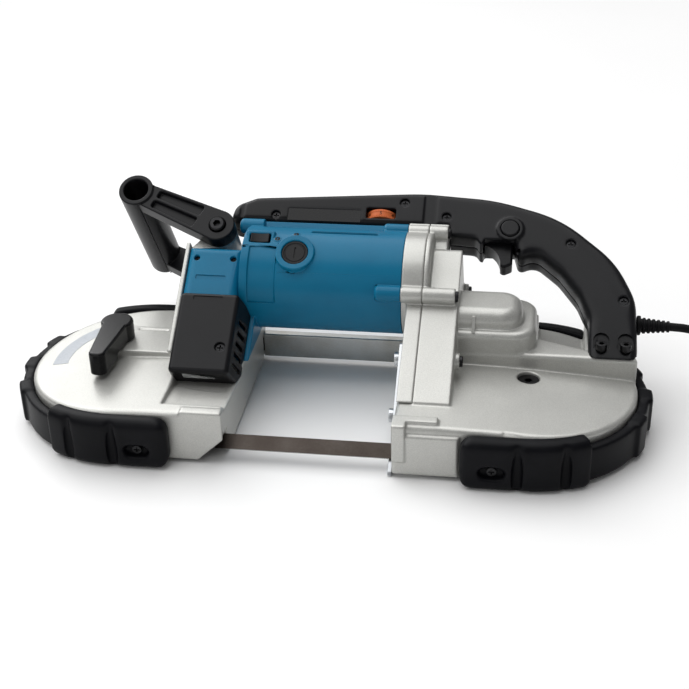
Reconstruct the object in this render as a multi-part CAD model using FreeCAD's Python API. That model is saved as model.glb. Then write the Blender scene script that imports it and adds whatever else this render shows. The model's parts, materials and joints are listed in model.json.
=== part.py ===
import FreeCAD, Part
import math
import os

# A portable band saw lying on its two wheel housings, as it rests on a bench.
# X runs along the blade span, Z is the wheel axes, -Y is the open throat side.
# Motor, handle and gear case lean back from the wheel plane by the tilt angle:
# they are drawn in leaned coordinates (x, v, w), v up in use and w towards the user.
# All lengths are millimetres and all angles degrees.

# Driving dimensions of the saw
tilt = 35.0
wheel_spacing = 318.66
blade_path_radius = 80.0
rim_room = 5.5
bumper_depth = 14.16
throat_left = -70.0
throat_right = 60.0
motor_v = 106.7
motor_w = 30.2

# Fits that many pieces share
slip = 0.3
running_fit = 0.05
touch = 0.02
overrun = 3.0

# Wheel housings
housing_wall = 4.5
front_wall = 2.6
roof_wall = 5.0
housing_foot = 3.0
roof_throat_z = 44.5
roof_middle_z = 42.5
roof_rim_z = 36.0
roof_round = 4.0

# Blade
blade_width = 13.0
blade_thickness = 0.5
blade_middle_z = 15.0
cut_span_inset = 5.0
twist_left_x = -86.0
twist_right_x = 80.0
twist_start = 12.0
twist_steps = 6

# Band wheels
tyre_thickness = 2.0
tyre_gap = 0.3
wheel_rim_thickness = 7.0
wheel_width = 16.0
wheel_web = 5.0
wheel_hub_radius = 19.0
wheel_hub_low = 6.0
wheel_hole_radius = 13.0
wheel_hole_count = 6
wheel_room_gap = 2.0
axle_radius = 7.5
axle_low = 2.5
axle_head_radius = 8.5
axle_head_recess = 5.0
axle_recess_radius = 9.0
axle_boss_radius = 17.0
axle_boss_gap = 1.0
wheel_bearing_radius = 14.0
wheel_bearing_width = 8.0
axle_ring_radius = 11.0
axle_ring_thickness = 1.5

# Gears: spur stage on the motor, bevel stage under the dome, spur stage on the wheel
motor_module = 1.1
motor_pinion_teeth = 8
second_gear_teeth = 36
bevel_module = 1.6
bevel_pinion_teeth = 10
bevel_gear_teeth = 30
wheel_module = 1.5
wheel_pinion_teeth = 14
wheel_gear_teeth = 60
tooth_half_share = 0.205
tip_half_share = 0.09
root_half_share = 0.30
addendum_share = 0.85
dedendum_share = 1.2
bevel_toe_share = 0.66
motor_gear_x = 76.0
motor_gear_width = 8.0
motor_pinion_width = 10.0
wheel_gear_low = 24.0
wheel_gear_width = 9.0
wheel_gear_web_radius = 40.0

# Shafts and bearings of the gear train
second_shaft_radius = 5.0
second_shaft_left = 63.0
second_left_bearing_radius = 9.5
second_left_bearing_width = 7.0
second_right_bearing_radius = 11.0
second_right_bearing_x = 91.0
second_right_bearing_width = 8.0
upright_shaft_radius = 6.0
upright_bearing_radius = 13.0
upright_bearing_width = 7.0
upright_low_bearing_z = 37.0
upright_high_bearing_z = 47.5
carrier_radius = 27.0
carrier_low = 35.5
carrier_high = 55.0
carrier_flange_radius = 33.0
carrier_flange = 3.0
bevel_gear_back = 5.0

# Motor
motor_radius = 42.3
motor_shell = 3.0
motor_left = -78.0
motor_right = 55.0
motor_end_wall = 5.0
shaft_radius = 5.0
core_radius = 21.5
core_left = -18.0
core_right = 26.0
commutator_radius = 13.0
commutator_left = -42.5
commutator_right = -23.5
fan_radius = 36.5
fan_left = 38.0
fan_right = 49.0
fan_back = 2.5
fan_blade = 2.0
fan_blade_count = 12
fan_hub_radius = 11.0
stator_gap = 1.0
coil_reach = 7.0
coil_outer_radius = 34.5
coil_inner_radius = 25.5
rear_bearing_radius = 11.0
rear_bearing_left = -72.8
rear_bearing_width = 8.0
nose_bearing_radius = 14.0
nose_bearing_left = 60.5
nose_bearing_width = 9.0
bearing_boss_wall = 3.5
brush_x = -33.0
brush_side = 7.0
brush_reach = 16.0
brush_tube_wall = 1.2
brush_cap_radius = 11.0
brush_cap_depth = 6.0
brush_ring_radius = 16.0
brush_ring_rise = 2.2
brush_cup_wall = 2.0
saddle_height = 7.0
saddle_left = -90.0
saddle_back_w = 6.0
saddle_front_w = 39.0
saddle_round = 5.0
motor_foot_right = -66.0
motor_foot_low_v = 22.0
motor_foot_back_w = -8.0
motor_foot_front_w = 38.0
lamp_switch_x = -64.0
lamp_switch_v = 121.0
bezel_length = 24.0
bezel_height = 15.0
bezel_w = 70.5
bezel_wall = 3.2
rocker_depth = 8.0
rocker_pin_radius = 1.5
rocker_rise = 1.4
rocker_end_gap = 1.1
motor_boss_length = 21.0
motor_boss_left_x = -88.0
vent_left_x = -26.0
vent_right_x = 29.0
vent_v = 144.5
vent_width = 1.8
vent_low_w = 44.0
panel_left_x = -71.0
panel_right_x = -48.5
panel_low_v = 71.0
panel_top_v = 113.0
panel_sink = 1.0

# Gear case
case_seam_x = 72.5
case_right_x = 101.0
case_low_v = -17.0
case_low_front_w = 68.5
case_front_w = 57.5
case_bend_v = 79.0
case_top_v = 131.0
case_top_front_w = 50.0
case_back_w = -26.0
case_round = 7.0
case_floor_z = 45.2
case_gear_room = 1.6
case_barrel_right_x = 77.0
case_barrel_round = 2.0
case_tier_right_x = 88.0
case_tier_front_w = 45.0
case_screw_radius = 2.5
case_boss_radius = 6.5
case_screw_head_radius = 4.4
case_screw_head = 5.0
case_top_screw_v = 146.5
case_top_screw_w = 45.5
case_middle_screw_v = 78.5
case_middle_screw_w = 63.0
case_low_screw_v = 28.0
case_low_screw_w = 50.0
case_middle_boss_right_x = 99.0
case_boss_right_x = 105.5

# Ridge platform and dome on the right housing
platform_z = 55.5
platform_front_y = 13.0
platform_left_x = 99.0
platform_round = 3.0
bay_front_y = 42.0
bay_slope = 14.0
bay_gap = 2.0
dome_left_x = 97.0
dome_right_x = 164.0
dome_low_front_y = 13.5
dome_low_z = 72.7
dome_corner = 18.0
dome_back_y = 79.0
dome_high_right_x = 153.0
dome_high_front_y = 20.0
dome_high_z = 87.5
dome_low_round = 5.0
dome_high_round = 10.0
dome_high_back_y = 65.5
bevel_room = 1.8
pinion_room_right_x = 128.0
pocket_left_x = 170.0

# Right housing front corner
corner_pad_rise = 3.0
corner_post_rise = 2.0
corner_post_right_x = 70.5
corner_post_low_z = 15.0
corner_rib_z = 47.5
corner_rib_right_x = 94.0
corner_rib_width = 8.0

# Left housing: plateau, lamp scoop, upright wall and boss for the front handle
plateau_z = 48.0
plateau_front_y = 0.0
plateau_back_y = 43.0
plateau_left_x = -181.3
plateau_right_x = -118.0
scoop_left_x = -120.0
scoop_front_y = -71.0
scoop_back_y = -8.0
scoop_low_z = 37.0
scoop_high_z = 41.5
scoop_floor = 4.0
lip_left_x = -103.0
lip_z = 46.0
lip_width = 9.5
groove_left_x = -168.8
groove_right_x = -143.0
groove_front_y = 36.5
groove_width = 2.4
groove_depth = 1.2
front_cut_left_x = -97.0
front_cut_top_z = 25.0
upright_outer_x = -129.0
upright_thickness = 3.6
upright_low_v = 20.0
upright_boss_drop = 17.0
upright_back_w = -42.0
upright_front_w = 57.0
boss_x = -105.0
boss_v = 139.0
boss_radius = 14.0
boss_half_length = 45.0

# Blade tension: lever, cam and idler carriage
lever_x = -181.3
lever_y = 20.8
lever_hub_radius = 13.4
lever_top_z = 65.0
lever_arm_low_z = 50.0
lever_tip_low_z = 45.5
lever_tip_start = 31.0
lever_reach = 59.0
lever_arm_width = 13.0
lever_round = 2.2
lever_shaft_radius = 6.0
cam_radius = 8.0
cam_throw = 2.4
cam_low_z = 29.5
cam_high_z = 34.5
cam_gap = 0.7
carriage_half_width = 12.0
carriage_left_x = -198.0
carriage_right_x = -134.0
carriage_low_z = 29.5
carriage_high_z = 34.5
carriage_lug_y = 29.0
carriage_rail = 4.0
carriage_rail_right_x = -128.0

# Rear controller case, lamp box
controller_gap = 0.3
controller_split_w = 12.0
controller_back_w = -36.0
controller_low_v = 24.0
controller_boss_gap = 7.0
controller_step_v = 71.0
controller_front_w = 60.0
controller_step_w = 39.0
controller_wall = 3.0
controller_round = 8.0
board_thickness = 12.0
board_length = 30.0
board_top_drop = 18.0
board_low_v = 60.0
board_low_w = 17.0
lamp_left_x = -123.5
lamp_right_x = -75.0
lamp_back_right_x = -69.5
lamp_low_v = -1.0
lamp_top_gap = 0.6
lamp_front_w = 67.0
lamp_wall = 2.5
lamp_round = 4.0
lens_length = 26.0
lens_width = 7.0
lens_thickness = 2.0
lens_w = 59.0

# Main handle
handle_front_w = 39.0
handle_parting_w = 22.0
handle_back_w = 5.0
handle_left_x = -101.0
handle_right_x = 244.0
handle_low_v = 30.0
handle_strip_height = 35.5
handle_round = 6.5
handle_wall = 3.6
handle_boss_radius = 4.6
handle_screw_shares = ((0.116, 0.825), (0.434, 0.925), (0.539, 0.848), (0.840, 0.715), (0.966, 0.400))
grip_outer_shares = (
    (0.009, 0.885, 0.075), (0.061, 0.938, 0.087), (0.472, 1.000, 1.200), (0.652, 0.978, 0.980),
    (0.815, 0.879, 0.650), (0.948, 0.632, 0.520), (0.996, 0.415, 0.370),
)
grip_inner_shares = (
    (0.887, 0.297, 0.110), (0.861, 0.427, 0.155), (0.815, 0.557, 0.155), (0.757, 0.6625, 0.062),
    (0.719, 0.620, 0.025),
)
guard_lip_shares = ((0.629, 0.675, 0.012), (0.614, 0.728, 0.025))
guard_low_drop = 7.0
foot_left_x = 205.0
foot_notch_radius = 6.0
foot_notch_top_z = 73.0
foot_screw_radius = 2.5
foot_screw_head_radius = 4.4
foot_screw_head = 5.0
foot_screw_y = 19.0
foot_screw_inset = 10.0
trigger_left_x = 118.0
trigger_right_x = 141.5
trigger_slot_drop = 9.0
trigger_drop = 22.0
trigger_tuck = 6.0
trigger_travel = 6.0
trigger_room_gap = 1.0
trigger_thickness = 16.0
lock_x = 138.4
lock_height = 1.0
lock_radius = 7.6
lock_ring_radius = 11.0
lock_ring_rise = 1.6
lock_rise = 2.6
lock_depth = 8.0
dial_x = 29.0
dial_height = 12.0
dial_radius = 14.0
dial_width = 7.5
dial_rise = 0.8
dial_window = 25.0
dial_window_gap = 1.2
dial_pin_radius = 1.6
handle_screw_head_radius = 3.6
handle_screw_radius = 1.8
handle_screw_sink = 2.0
switch_length = 34.0
switch_height = 18.0
switch_thickness = 16.0
switch_left_x = 107.0
label_left_x = -51.0
label_right_x = 12.5
label_low = 2.0
label_high = 14.5
label_sink = 0.7
band_left_x = 65.0
band_right_x = 77.0
band_sink = 1.1
end_band_left_x = -93.0
end_band_right_x = -88.0

# Front handle
grip_x = -181.0
grip_v = 170.0
grip_radius = 15.0
grip_bore = 10.5
grip_half_length = 60.0
grip_arm_thickness = 13.5
grip_arm_half = 10.5
grip_arm_radius = 14.5
grip_pocket_start = 20.0
grip_pocket_end = 19.0
grip_pocket_wall = 3.0
grip_pocket_rib = 3.0
grip_pocket_depth = 4.0
grip_pocket_round = 2.0
grip_bolt_radius = 4.0
grip_bolt_head_radius = 6.5
grip_bolt_head = 6.0
grip_bolt_seat = 7.5

# Stop plate
stop_thickness = 3.0
stop_gap = 0.1
stop_low_v = -72.0
stop_top_v = 42.0
stop_back_w = 23.0
stop_blade_gap = 2.8
stop_floor_z = 1.0
stop_slot_radius = 3.4
stop_slot_length = 20.0
stop_bolt_radius = 3.0
stop_bolt_head_radius = 5.5
stop_bolt_head = 4.0
stop_bolt_w = 38.0
stop_bolt_high_v = 33.0
stop_bolt_low_v = -16.0
stop_bolt_reach = 8.0
stop_corner = 4.0

# Return span guard
rail_depth = 8.4
rail_low_z = 6.0
rail_top_z = 27.5
rail_sheet = 1.6
rail_gap = 0.2

# Blade guides
roller_radius = 4.5
roller_width = 5.0
roller_bore = 1.6
roller_gap = 0.06
guide_left_x = -79.0
guide_right_x = 73.0
guide_bracket_reach = 4.0
guide_pad_half = 3.0
guide_bracket_start = 8.0
guide_bracket_end = 16.0
guide_half_width = 10.0

# Bumpers
bumper_gap = 0.2
bumper_strip_depth = 9.0
bumper_strip_low_z = 3.0
bumper_strip_high_z = 32.0
bumper_pad_high_z = 42.5
bumper_wrap = 48.5
bumper_front_pad_reach = 64.0
bumper_back_pad_reach = 45.0
bumper_lug_depth = 12.0
bumper_lug_high_z = 33.5
bumper_lug_half_angle = 5.0
bumper_lug_angles = (-24.0, 0.0, 24.0)
bumper_flute_radius = 3.0
bumper_flute_angles = (-72.0, -93.0)
bumper_slot_length = 20.0
bumper_slot_height = 10.0
bumper_slot_depth = 7.0
bumper_slot_z = 16.0
bumper_slot_offset = 24.0
bumper_round = 7.0
bumper_screw_radius = 3.6
bumper_screw_head = 3.0

# Supply cord, its strain relief, put-away coil, tie and plug
cord_diameter = 7.0
relief_v = 82.5
relief_w = 20.0
relief_length = 26.0
relief_radius = 6.5
relief_neck_radius = 4.6
relief_collar = 3.0
coil_inner_radius_mid = 32.0
coil_turn_step = 8.6
coil_layer_step = 8.2
coil_layers = 4
coil_spiral_turns = 1.9375
coil_x = 385.0
coil_y = 5.0
coil_floor_gap = 1.5
coil_points_per_turn = 4
tie_width = 12.0
tie_thickness = 1.0
tie_room = 0.5
tie_angle = 200.0
plug_length = 36.0
plug_width = 35.0
plug_height = 14.0
plug_neck_length = 12.0
plug_neck_radius = 4.8
plug_pin_radius = 2.4
plug_pin_length = 19.0
plug_pin_spacing = 19.0
plug_round = 4.0
plug_tail = 36.0

# Small fittings of the motor, controller case and lamp box
armature_slots = 12
armature_slot_width = 2.6
armature_slot_depth = 9.0
cap_slot_share = 0.7
controller_screw_drop = 12.0
controller_screw_inset = 8.0
louvre_count = 5
louvre_start = 10.0
louvre_step = 9.5
louvre_height = 4.0
louvre_inset = 4.0
lamp_holder_w = 48.0
lamp_screw_radius = 4.0
lamp_screw_x = -84.0
lamp_screw_v = 22.0
lamp_screw_top_w = 65.0
drive_hub_high = 32.5
idler_hub_high = 26.5
drive_web_low = 14.0

# More of the handle, front handle and cord
foot_screw_seat_z = 61.0
grip_bolt_shank = 28.0
climb_turns = 0.5
coil_start_angle = 90.0
route_corner_share = 0.45
cord_route = ((302.0, 56.11, 63.7), (345.0, 53.66, 29.6))
gap_steps = 48

# Values worked out from the sizes above
rim_radius = blade_path_radius + rim_room
bumper_radius = rim_radius + bumper_depth
bumper_strip_radius = rim_radius + bumper_strip_depth
bumper_lug_radius = rim_radius + bumper_lug_depth
cut_span_y = cut_span_inset - blade_path_radius
corner_pad_y = -rim_radius - corner_pad_rise
lip_y = lip_width - rim_radius
blade_v = cut_span_y * math.cos(math.radians(tilt)) + blade_middle_z * math.sin(math.radians(tilt))
blade_w = blade_middle_z * math.cos(math.radians(tilt)) - cut_span_y * math.sin(math.radians(tilt))
stop_front_w = blade_w - stop_blade_gap
saddle_v = motor_v + motor_radius + saddle_height
handle_top_v = saddle_v + handle_strip_height
trigger_slot_v = saddle_v - trigger_slot_drop
trigger_tip_v = trigger_slot_v - trigger_drop
trigger_top_v = trigger_slot_v + trigger_tuck
trigger_room_v = trigger_top_v + trigger_travel + trigger_room_gap
switch_low_v = trigger_room_v + trigger_room_gap
lock_v = saddle_v + lock_height
dial_v = saddle_v + dial_height
upright_top_v = boss_v - upright_boss_drop
upright_inner_x = upright_outer_x + upright_thickness
controller_left_x = upright_inner_x + slip
controller_right_x = motor_left - controller_gap
controller_top_v = boss_v - boss_radius - controller_boss_gap
controller_screw_xs = (controller_left_x + controller_screw_inset,
                       controller_right_x - controller_screw_inset)
board_height = controller_top_v - board_top_drop - board_low_v
lamp_top_v = controller_step_v - lamp_top_gap
coil_low_z = cord_diameter / 2 + coil_floor_gap
coil_top_z = coil_low_z + coil_layer_step * (coil_layers - 1)
coil_turns = coil_layers * coil_spiral_turns + (coil_layers - 1) * climb_turns
drive_web_top = drive_web_low + wheel_web
V = FreeCAD.Vector
ORIGIN = V(0, 0, 0)
AXIS_X = V(1, 0, 0)
AXIS_Y = V(0, 1, 0)
AXIS_Z = V(0, 0, 1)
half_turn = 180.0
full_turn = 360.0
far = 2 * wheel_spacing
wheel_x = wheel_spacing / 2
corner_pad_right_x = wheel_x - bumper_wrap - bumper_gap
lean_sine = math.sin(math.radians(tilt))
lean_cosine = math.cos(math.radians(tilt))
motor_pair = motor_module * (motor_pinion_teeth + second_gear_teeth) / 2
second_v = motor_v - motor_pair
second_w = motor_w
second_y = second_v * lean_cosine - second_w * lean_sine
second_z = second_v * lean_sine + second_w * lean_cosine
bevel_gear_radius = bevel_module * bevel_gear_teeth / 2
bevel_pinion_radius = bevel_module * bevel_pinion_teeth / 2
wheel_pair = wheel_module * (wheel_pinion_teeth + wheel_gear_teeth) / 2
upright_x = wheel_x - math.sqrt(wheel_pair ** 2 - second_y ** 2)
tyre_radius = blade_path_radius - blade_thickness / 2 - tyre_gap
wheel_radius = tyre_radius - tyre_thickness
wheel_hole_ring = (wheel_hub_radius + wheel_radius - wheel_rim_thickness) / 2
wheel_low = blade_middle_z - wheel_width / 2
wheel_high = blade_middle_z + wheel_width / 2
wheel_mesh_angle = math.degrees(math.atan2(second_y, upright_x - wheel_x))
bevel_pinion_phase = half_turn / bevel_pinion_teeth
cord_nodes = ("strain_relief", "cord", "cord_coil", "cord_tie", "plug")
nodes = {}


def add(name, *shapes):
    """Put solids into a node; fasteners and bearings of one kind share a node."""
    for shape in shapes:
        nodes.setdefault(name, []).extend(shape.Solids)


def box(x0, x1, y0, y1, z0, z1):
    return Part.makeBox(x1 - x0, y1 - y0, z1 - z0, V(x0, y0, z0))


def rod(radius, start, end):
    axis = end - start
    return Part.makeCylinder(radius, axis.Length, start, axis)


def rod_x(radius, x0, x1, y, z):
    return rod(radius, V(x0, y, z), V(x1, y, z))


def rod_z(radius, x, y, z0, z1):
    return rod(radius, V(x, y, z0), V(x, y, z1))


def ring_z(outer, inner, x, y, z0, z1):
    return rod_z(outer, x, y, z0, z1).cut(rod_z(inner, x, y, z0 - overrun, z1 + overrun))


def ring_x(outer, inner, x0, x1, y, z):
    return rod_x(outer, x0, x1, y, z).cut(rod_x(inner, x0 - overrun, x1 + overrun, y, z))


def fuse(first, *others):
    return first.fuse(list(others)).removeSplitter()


def cut(first, *others):
    return first.cut(list(others))


def lean(shape):
    """Turn a shape drawn in leaned coordinates (x, v, w) into the saw's frame."""
    turned = shape.copy()
    turned.rotate(ORIGIN, AXIS_X, tilt)
    return turned


def lean_point(x, v, w):
    return V(x, v * lean_cosine - w * lean_sine, v * lean_sine + w * lean_cosine)


def rounded_wire(corners):
    """Closed flat outline through (a, b, radius) corners, each rounded by its radius."""
    count = len(corners)
    edges = []
    spans = []
    for index, (a, b, radius) in enumerate(corners):
        here = V(a, b, 0)
        before = V(corners[index - 1][0], corners[index - 1][1], 0) - here
        after_corner = corners[(index + 1) % count]
        after = V(after_corner[0], after_corner[1], 0) - here
        before.normalize()
        after.normalize()
        half = before.getAngle(after) / 2
        reach = radius / math.tan(half) if radius > 0 else 0
        middle = before + after
        start = here + before * reach
        end = here + after * reach
        if radius > 0:
            middle.normalize()
            top = here + middle * (radius / math.sin(half) - radius)
            spans.append((start, top, end))
        else:
            spans.append((here, None, here))
    for index, (start, top, end) in enumerate(spans):
        if top is not None:
            edges.append(Part.Arc(start, top, end).toShape())
        following = spans[(index + 1) % count][0]
        if end.distanceToPoint(following) > touch * touch:
            edges.append(Part.LineSegment(end, following).toShape())
    return Part.Wire(edges)


def slab(corners, low, high):
    """Rounded outline in (a, b), standing from low to high along the third axis."""
    face = Part.Face(rounded_wire(corners))
    face.translate(V(0, 0, low))
    return face.extrude(V(0, 0, high - low))


def sharp(points):
    return [(a, b, 0) for a, b in points]


def bar_x(corners, x0, x1):
    """Rounded outline in (y, z), or in (v, w) before leaning, running from x0 to x1."""
    solid = slab(corners, x0, x1)
    solid.rotate(ORIGIN, V(1, 1, 1), full_turn / 3)
    return solid


def bar_y(corners, y0, y1):
    """Rounded outline in (x, z), running from y0 to y1."""
    solid = slab(corners, -y1, -y0)
    solid.rotate(ORIGIN, AXIS_X, half_turn / 2)
    return solid


def round_edges(shape, radius, chosen):
    edges = [edge for edge in shape.Edges if chosen(edge)]
    return shape.makeFillet(radius, edges)


def above(z):
    return box(-far, far, -far, far, z, far)


def below(z):
    return box(-far, far, -far, far, -far, z)


def gear_outline(teeth, module, phase):
    """Straight-flanked tooth outline with one tooth centred on the phase angle."""
    pitch_radius = module * teeth / 2
    pitch = full_turn / teeth
    steps = (
        (pitch_radius - dedendum_share * module, -root_half_share),
        (pitch_radius, -tooth_half_share),
        (pitch_radius + addendum_share * module, -tip_half_share),
        (pitch_radius + addendum_share * module, tip_half_share),
        (pitch_radius, tooth_half_share),
        (pitch_radius - dedendum_share * module, root_half_share),
    )
    points = []
    for tooth in range(teeth):
        for radius, share in steps:
            angle = math.radians(phase + pitch * (tooth + share))
            points.append(V(radius * math.cos(angle), radius * math.sin(angle), 0))
    return Part.Face(Part.makePolygon(points + points[:1]))


def spur_gear_z(teeth, module, phase, x, y, z0, z1):
    solid = gear_outline(teeth, module, phase).extrude(V(0, 0, z1 - z0))
    solid.translate(V(x, y, z0))
    return solid


def spur_gear_x(teeth, module, phase, x0, x1):
    """Gear whose axis is X, with its phase measured from the first cross direction."""
    solid = gear_outline(teeth, module, phase).extrude(V(0, 0, x1 - x0))
    solid.rotate(ORIGIN, V(1, 1, 1), full_turn / 3)
    solid.translate(V(x0, 0, 0))
    return solid


def six_faced(heel, toe):
    """Solid with two four-sided ends whose matching sides are flat."""
    faces = [Part.Face(Part.makePolygon(heel + heel[:1])), Part.Face(Part.makePolygon(toe + toe[:1]))]
    for index in range(len(heel)):
        following = (index + 1) % len(heel)
        side = [heel[index], heel[following], toe[following], toe[index], heel[index]]
        faces.append(Part.Face(Part.makePolygon(side)))
    return Part.Solid(Part.Shell(faces))


def bevel_gear(teeth, mate_teeth, phase, back):
    """Straight bevel gear about Z with its apex at the origin, lying below the apex."""
    radius = bevel_module * teeth / 2
    depth = bevel_module * mate_teeth / 2
    slant = math.hypot(radius, depth)
    out, up = depth / slant, radius / slant
    pitch = math.radians(full_turn / teeth)
    root = dedendum_share * bevel_module
    tip = addendum_share * bevel_module
    sink = 2 * root
    solid = revolved([
        (0, -depth - root * up - back), (radius - root * out, -depth - root * up - back),
        (radius - root * out, -depth - root * up),
        ((radius - root * out) * bevel_toe_share, (-depth - root * up) * bevel_toe_share),
        (0, (-depth - root * up) * bevel_toe_share),
    ])
    teeth_solids = []
    for tooth in range(teeth):
        middle = math.radians(phase) + pitch * tooth
        heel = []
        for reach, share in ((-sink, -root_half_share), (tip, -tip_half_share),
                             (tip, tip_half_share), (-sink, root_half_share)):
            around = middle + share * pitch
            across = radius + reach * out
            heel.append(V(across * math.cos(around), across * math.sin(around), -depth + reach * up))
        toe = [point * bevel_toe_share for point in heel]
        teeth_solids.append(six_faced(heel, toe))
    return fuse(solid, *teeth_solids)


def revolved(profile):
    """Solid of an (r, z) profile turned about the Z axis."""
    points = [V(r, 0, z) for r, z in profile]
    face = Part.Face(Part.makePolygon(points + points[:1]))
    return face.revolve(ORIGIN, AXIS_Z, full_turn)


def line(start, end):
    return Part.LineSegment(start, end).toShape()


def pan_face(side, radius, throat_x):
    """D-shaped outline of a wheel housing: half round outside, square at the throat."""
    middle = side * wheel_x
    front, back = V(middle, -radius, 0), V(middle, radius, 0)
    front_corner, back_corner = V(throat_x, -radius, 0), V(throat_x, radius, 0)
    arc = Part.Arc(front, V(middle + side * radius, 0, 0), back).toShape()
    edges = [line(front_corner, front), arc, line(back, back_corner), line(back_corner, front_corner)]
    return Part.Face(Part.Wire(edges))


def roof_body(side, throat_x, drop):
    """All that lies under the crowned roof, lowered by the drop."""
    start = V(throat_x, 0, roof_throat_z - drop)
    middle = V(side * wheel_x, 0, roof_middle_z - drop)
    end = V(side * (wheel_x + rim_radius), 0, roof_rim_z - drop)
    arc = Part.Arc(start, middle, end).toShape()
    low_end, low_start = V(end.x, 0, -far), V(start.x, 0, -far)
    wire = Part.Wire([arc, line(end, low_end), line(low_end, low_start), line(low_start, start)])
    face = Part.Face(wire)
    face.translate(V(0, -far, 0))
    return face.extrude(V(0, 2 * far, 0))


def housing_block(side, throat_x):
    """Outside of a wheel housing, roof crowned and its edge rounded."""
    outer = pan_face(side, rim_radius, throat_x)
    outer.translate(V(0, 0, housing_foot))
    solid = outer.extrude(V(0, 0, roof_throat_z)).common(roof_body(side, throat_x, 0))
    return round_edges(solid, roof_round, lambda edge: edge.BoundBox.ZMin > roof_rim_z - roof_round)


def housing_rooms(side, throat_x):
    """Open-bottomed space inside a housing, and the room that its wheel needs."""
    inner_throat = throat_x + side * housing_wall
    inner = pan_face(side, rim_radius - front_wall, inner_throat)
    inner.translate(V(0, 0, -overrun))
    space = inner.extrude(V(0, 0, roof_throat_z)).common(roof_body(side, inner_throat, roof_wall))
    wheel = rod_z(blade_path_radius + wheel_room_gap, side * wheel_x, 0, -overrun,
                  wheel_high + wheel_room_gap)
    return [space, wheel]


def blade_notches(throat_x):
    """Openings in a throat wall where the blade runs in and out."""
    left, right = throat_x - 2 * housing_wall, throat_x + 2 * housing_wall
    top = blade_middle_z + blade_width / 2 + overrun
    reach = rim_radius - front_wall
    front = box(left, right, -reach, cut_span_y + 2 * overrun, -overrun, top)
    back = box(left, right, blade_path_radius - 2 * overrun, reach, -overrun, top)
    return [front, back]


def leaned_upright():
    """Cast wall on the left housing and the cross boss that carries the front handle."""
    inner_x = upright_inner_x
    wall = box(upright_outer_x, inner_x, upright_low_v, upright_top_v, upright_back_w, upright_front_w)
    reach = boss_half_length
    web = slab(sharp([
        (upright_outer_x, upright_top_v - boss_radius), (inner_x, upright_top_v - boss_radius),
        (inner_x, upright_top_v - slip), (boss_x, boss_v - boss_radius), (boss_x, boss_v + boss_radius),
        (upright_outer_x, upright_top_v),
    ]), -reach, reach)
    boss = rod(boss_radius, V(boss_x, boss_v, -reach), V(boss_x, boss_v, reach))
    behind = box(-far, far, rim_radius, far, -far, bumper_pad_high_z + bumper_gap)
    return cut(lean(fuse(wall, web, boss)), below(roof_rim_z), behind)


def grip_bolt_holes(radius):
    reach = grip_half_length + overrun
    inner = boss_half_length + grip_arm_thickness - grip_bolt_seat - grip_bolt_shank
    holes = []
    for side in (-1, 1):
        start, end = V(boss_x, boss_v, side * inner), V(boss_x, boss_v, side * reach)
        holes.append(lean(rod(radius, start, end)))
    return holes


def carriage_rails():
    roof = roof_throat_z - roof_wall
    inner = carriage_half_width + slip
    outer = inner + carriage_rail
    front = box(carriage_left_x, carriage_rail_right_x, -outer, -inner, carriage_low_z, roof)
    cam_side = lever_x + cam_radius + 2 * cam_throw
    back = box(cam_side, carriage_rail_right_x, inner, outer, carriage_low_z, roof)
    return [front, back]


def make_left_frame():
    plateau = slab([
        (plateau_right_x, plateau_front_y, 0), (plateau_right_x, plateau_back_y, 0),
        (plateau_left_x - lever_hub_radius, plateau_back_y, lever_hub_radius),
        (plateau_left_x - lever_hub_radius, plateau_front_y, lever_hub_radius),
    ], roof_middle_z - roof_wall, plateau_z)
    lip = box(lip_left_x, throat_left, -rim_radius, lip_y, roof_middle_z - roof_wall, lip_z)
    lip = round_edges(lip, roof_round / 2, lambda edge: edge.BoundBox.ZMin > lip_z - touch)
    scoop_bed = box(scoop_left_x - scoop_floor, throat_left - housing_wall, scoop_front_y - scoop_floor,
                    scoop_back_y + scoop_floor, scoop_low_z - scoop_floor, roof_middle_z - roof_round)
    scoop = bar_x([
        (scoop_front_y, scoop_high_z, 0), (scoop_front_y, far, 0), (scoop_back_y, far, 0),
        (scoop_back_y, scoop_low_z, 0),
    ], scoop_left_x, throat_left + overrun)
    front_cut = bar_y(sharp([
        (front_cut_left_x, -overrun), (throat_left + overrun, front_cut_top_z),
        (throat_left + overrun, -overrun),
    ]), -rim_radius - overrun, -rim_radius + housing_wall)
    groove = box(groove_left_x, groove_right_x, groove_front_y, groove_front_y + groove_width,
                 plateau_z - groove_depth, far)
    shaft_room = rod_z(lever_shaft_radius + running_fit, lever_x, lever_y, -overrun, plateau_z + overrun)
    shell = fuse(housing_block(-1, throat_left), plateau, lip, leaned_upright())
    shell = cut(shell, *housing_rooms(-1, throat_left))
    rails = [rail.common(roof_body(-1, throat_left, roof_wall / 2)) for rail in carriage_rails()]
    body = fuse(shell, scoop_bed, *rails)
    body = cut(body, scoop, front_cut, groove, shaft_room, *blade_notches(throat_left))
    add("left_frame", cut(body, *grip_bolt_holes(grip_bolt_radius)))


def case_profile():
    return [
        (case_low_v, case_low_front_w, 0), (case_bend_v, case_front_w, 0),
        (case_top_v, case_top_front_w, case_round), (case_top_v, case_back_w, case_round),
        (case_low_v - case_low_front_w, case_back_w, 0),
    ]


# Case screws: v, w, where the thread ends on the left and the boss on the right
case_screws = (
    (case_top_screw_v, case_top_screw_w, motor_right - motor_boss_length, case_tier_right_x),
    (case_middle_screw_v, case_middle_screw_w, motor_right - motor_boss_length, case_middle_boss_right_x),
    (case_low_screw_v, case_low_screw_w, throat_right, case_boss_right_x),
    (case_top_v - case_boss_radius, case_back_w + 2 * case_boss_radius, throat_right, case_boss_right_x),
)


def case_bosses(x0, x1):
    """Round bosses along the case screws, as far as they lie between two planes."""
    bosses = []
    for v, w, left, right in case_screws:
        start, end = max(left, x0), min(right, x1)
        bosses.append(lean(rod(case_boss_radius, V(start, v, w), V(end, v, w))))
    return bosses


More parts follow.
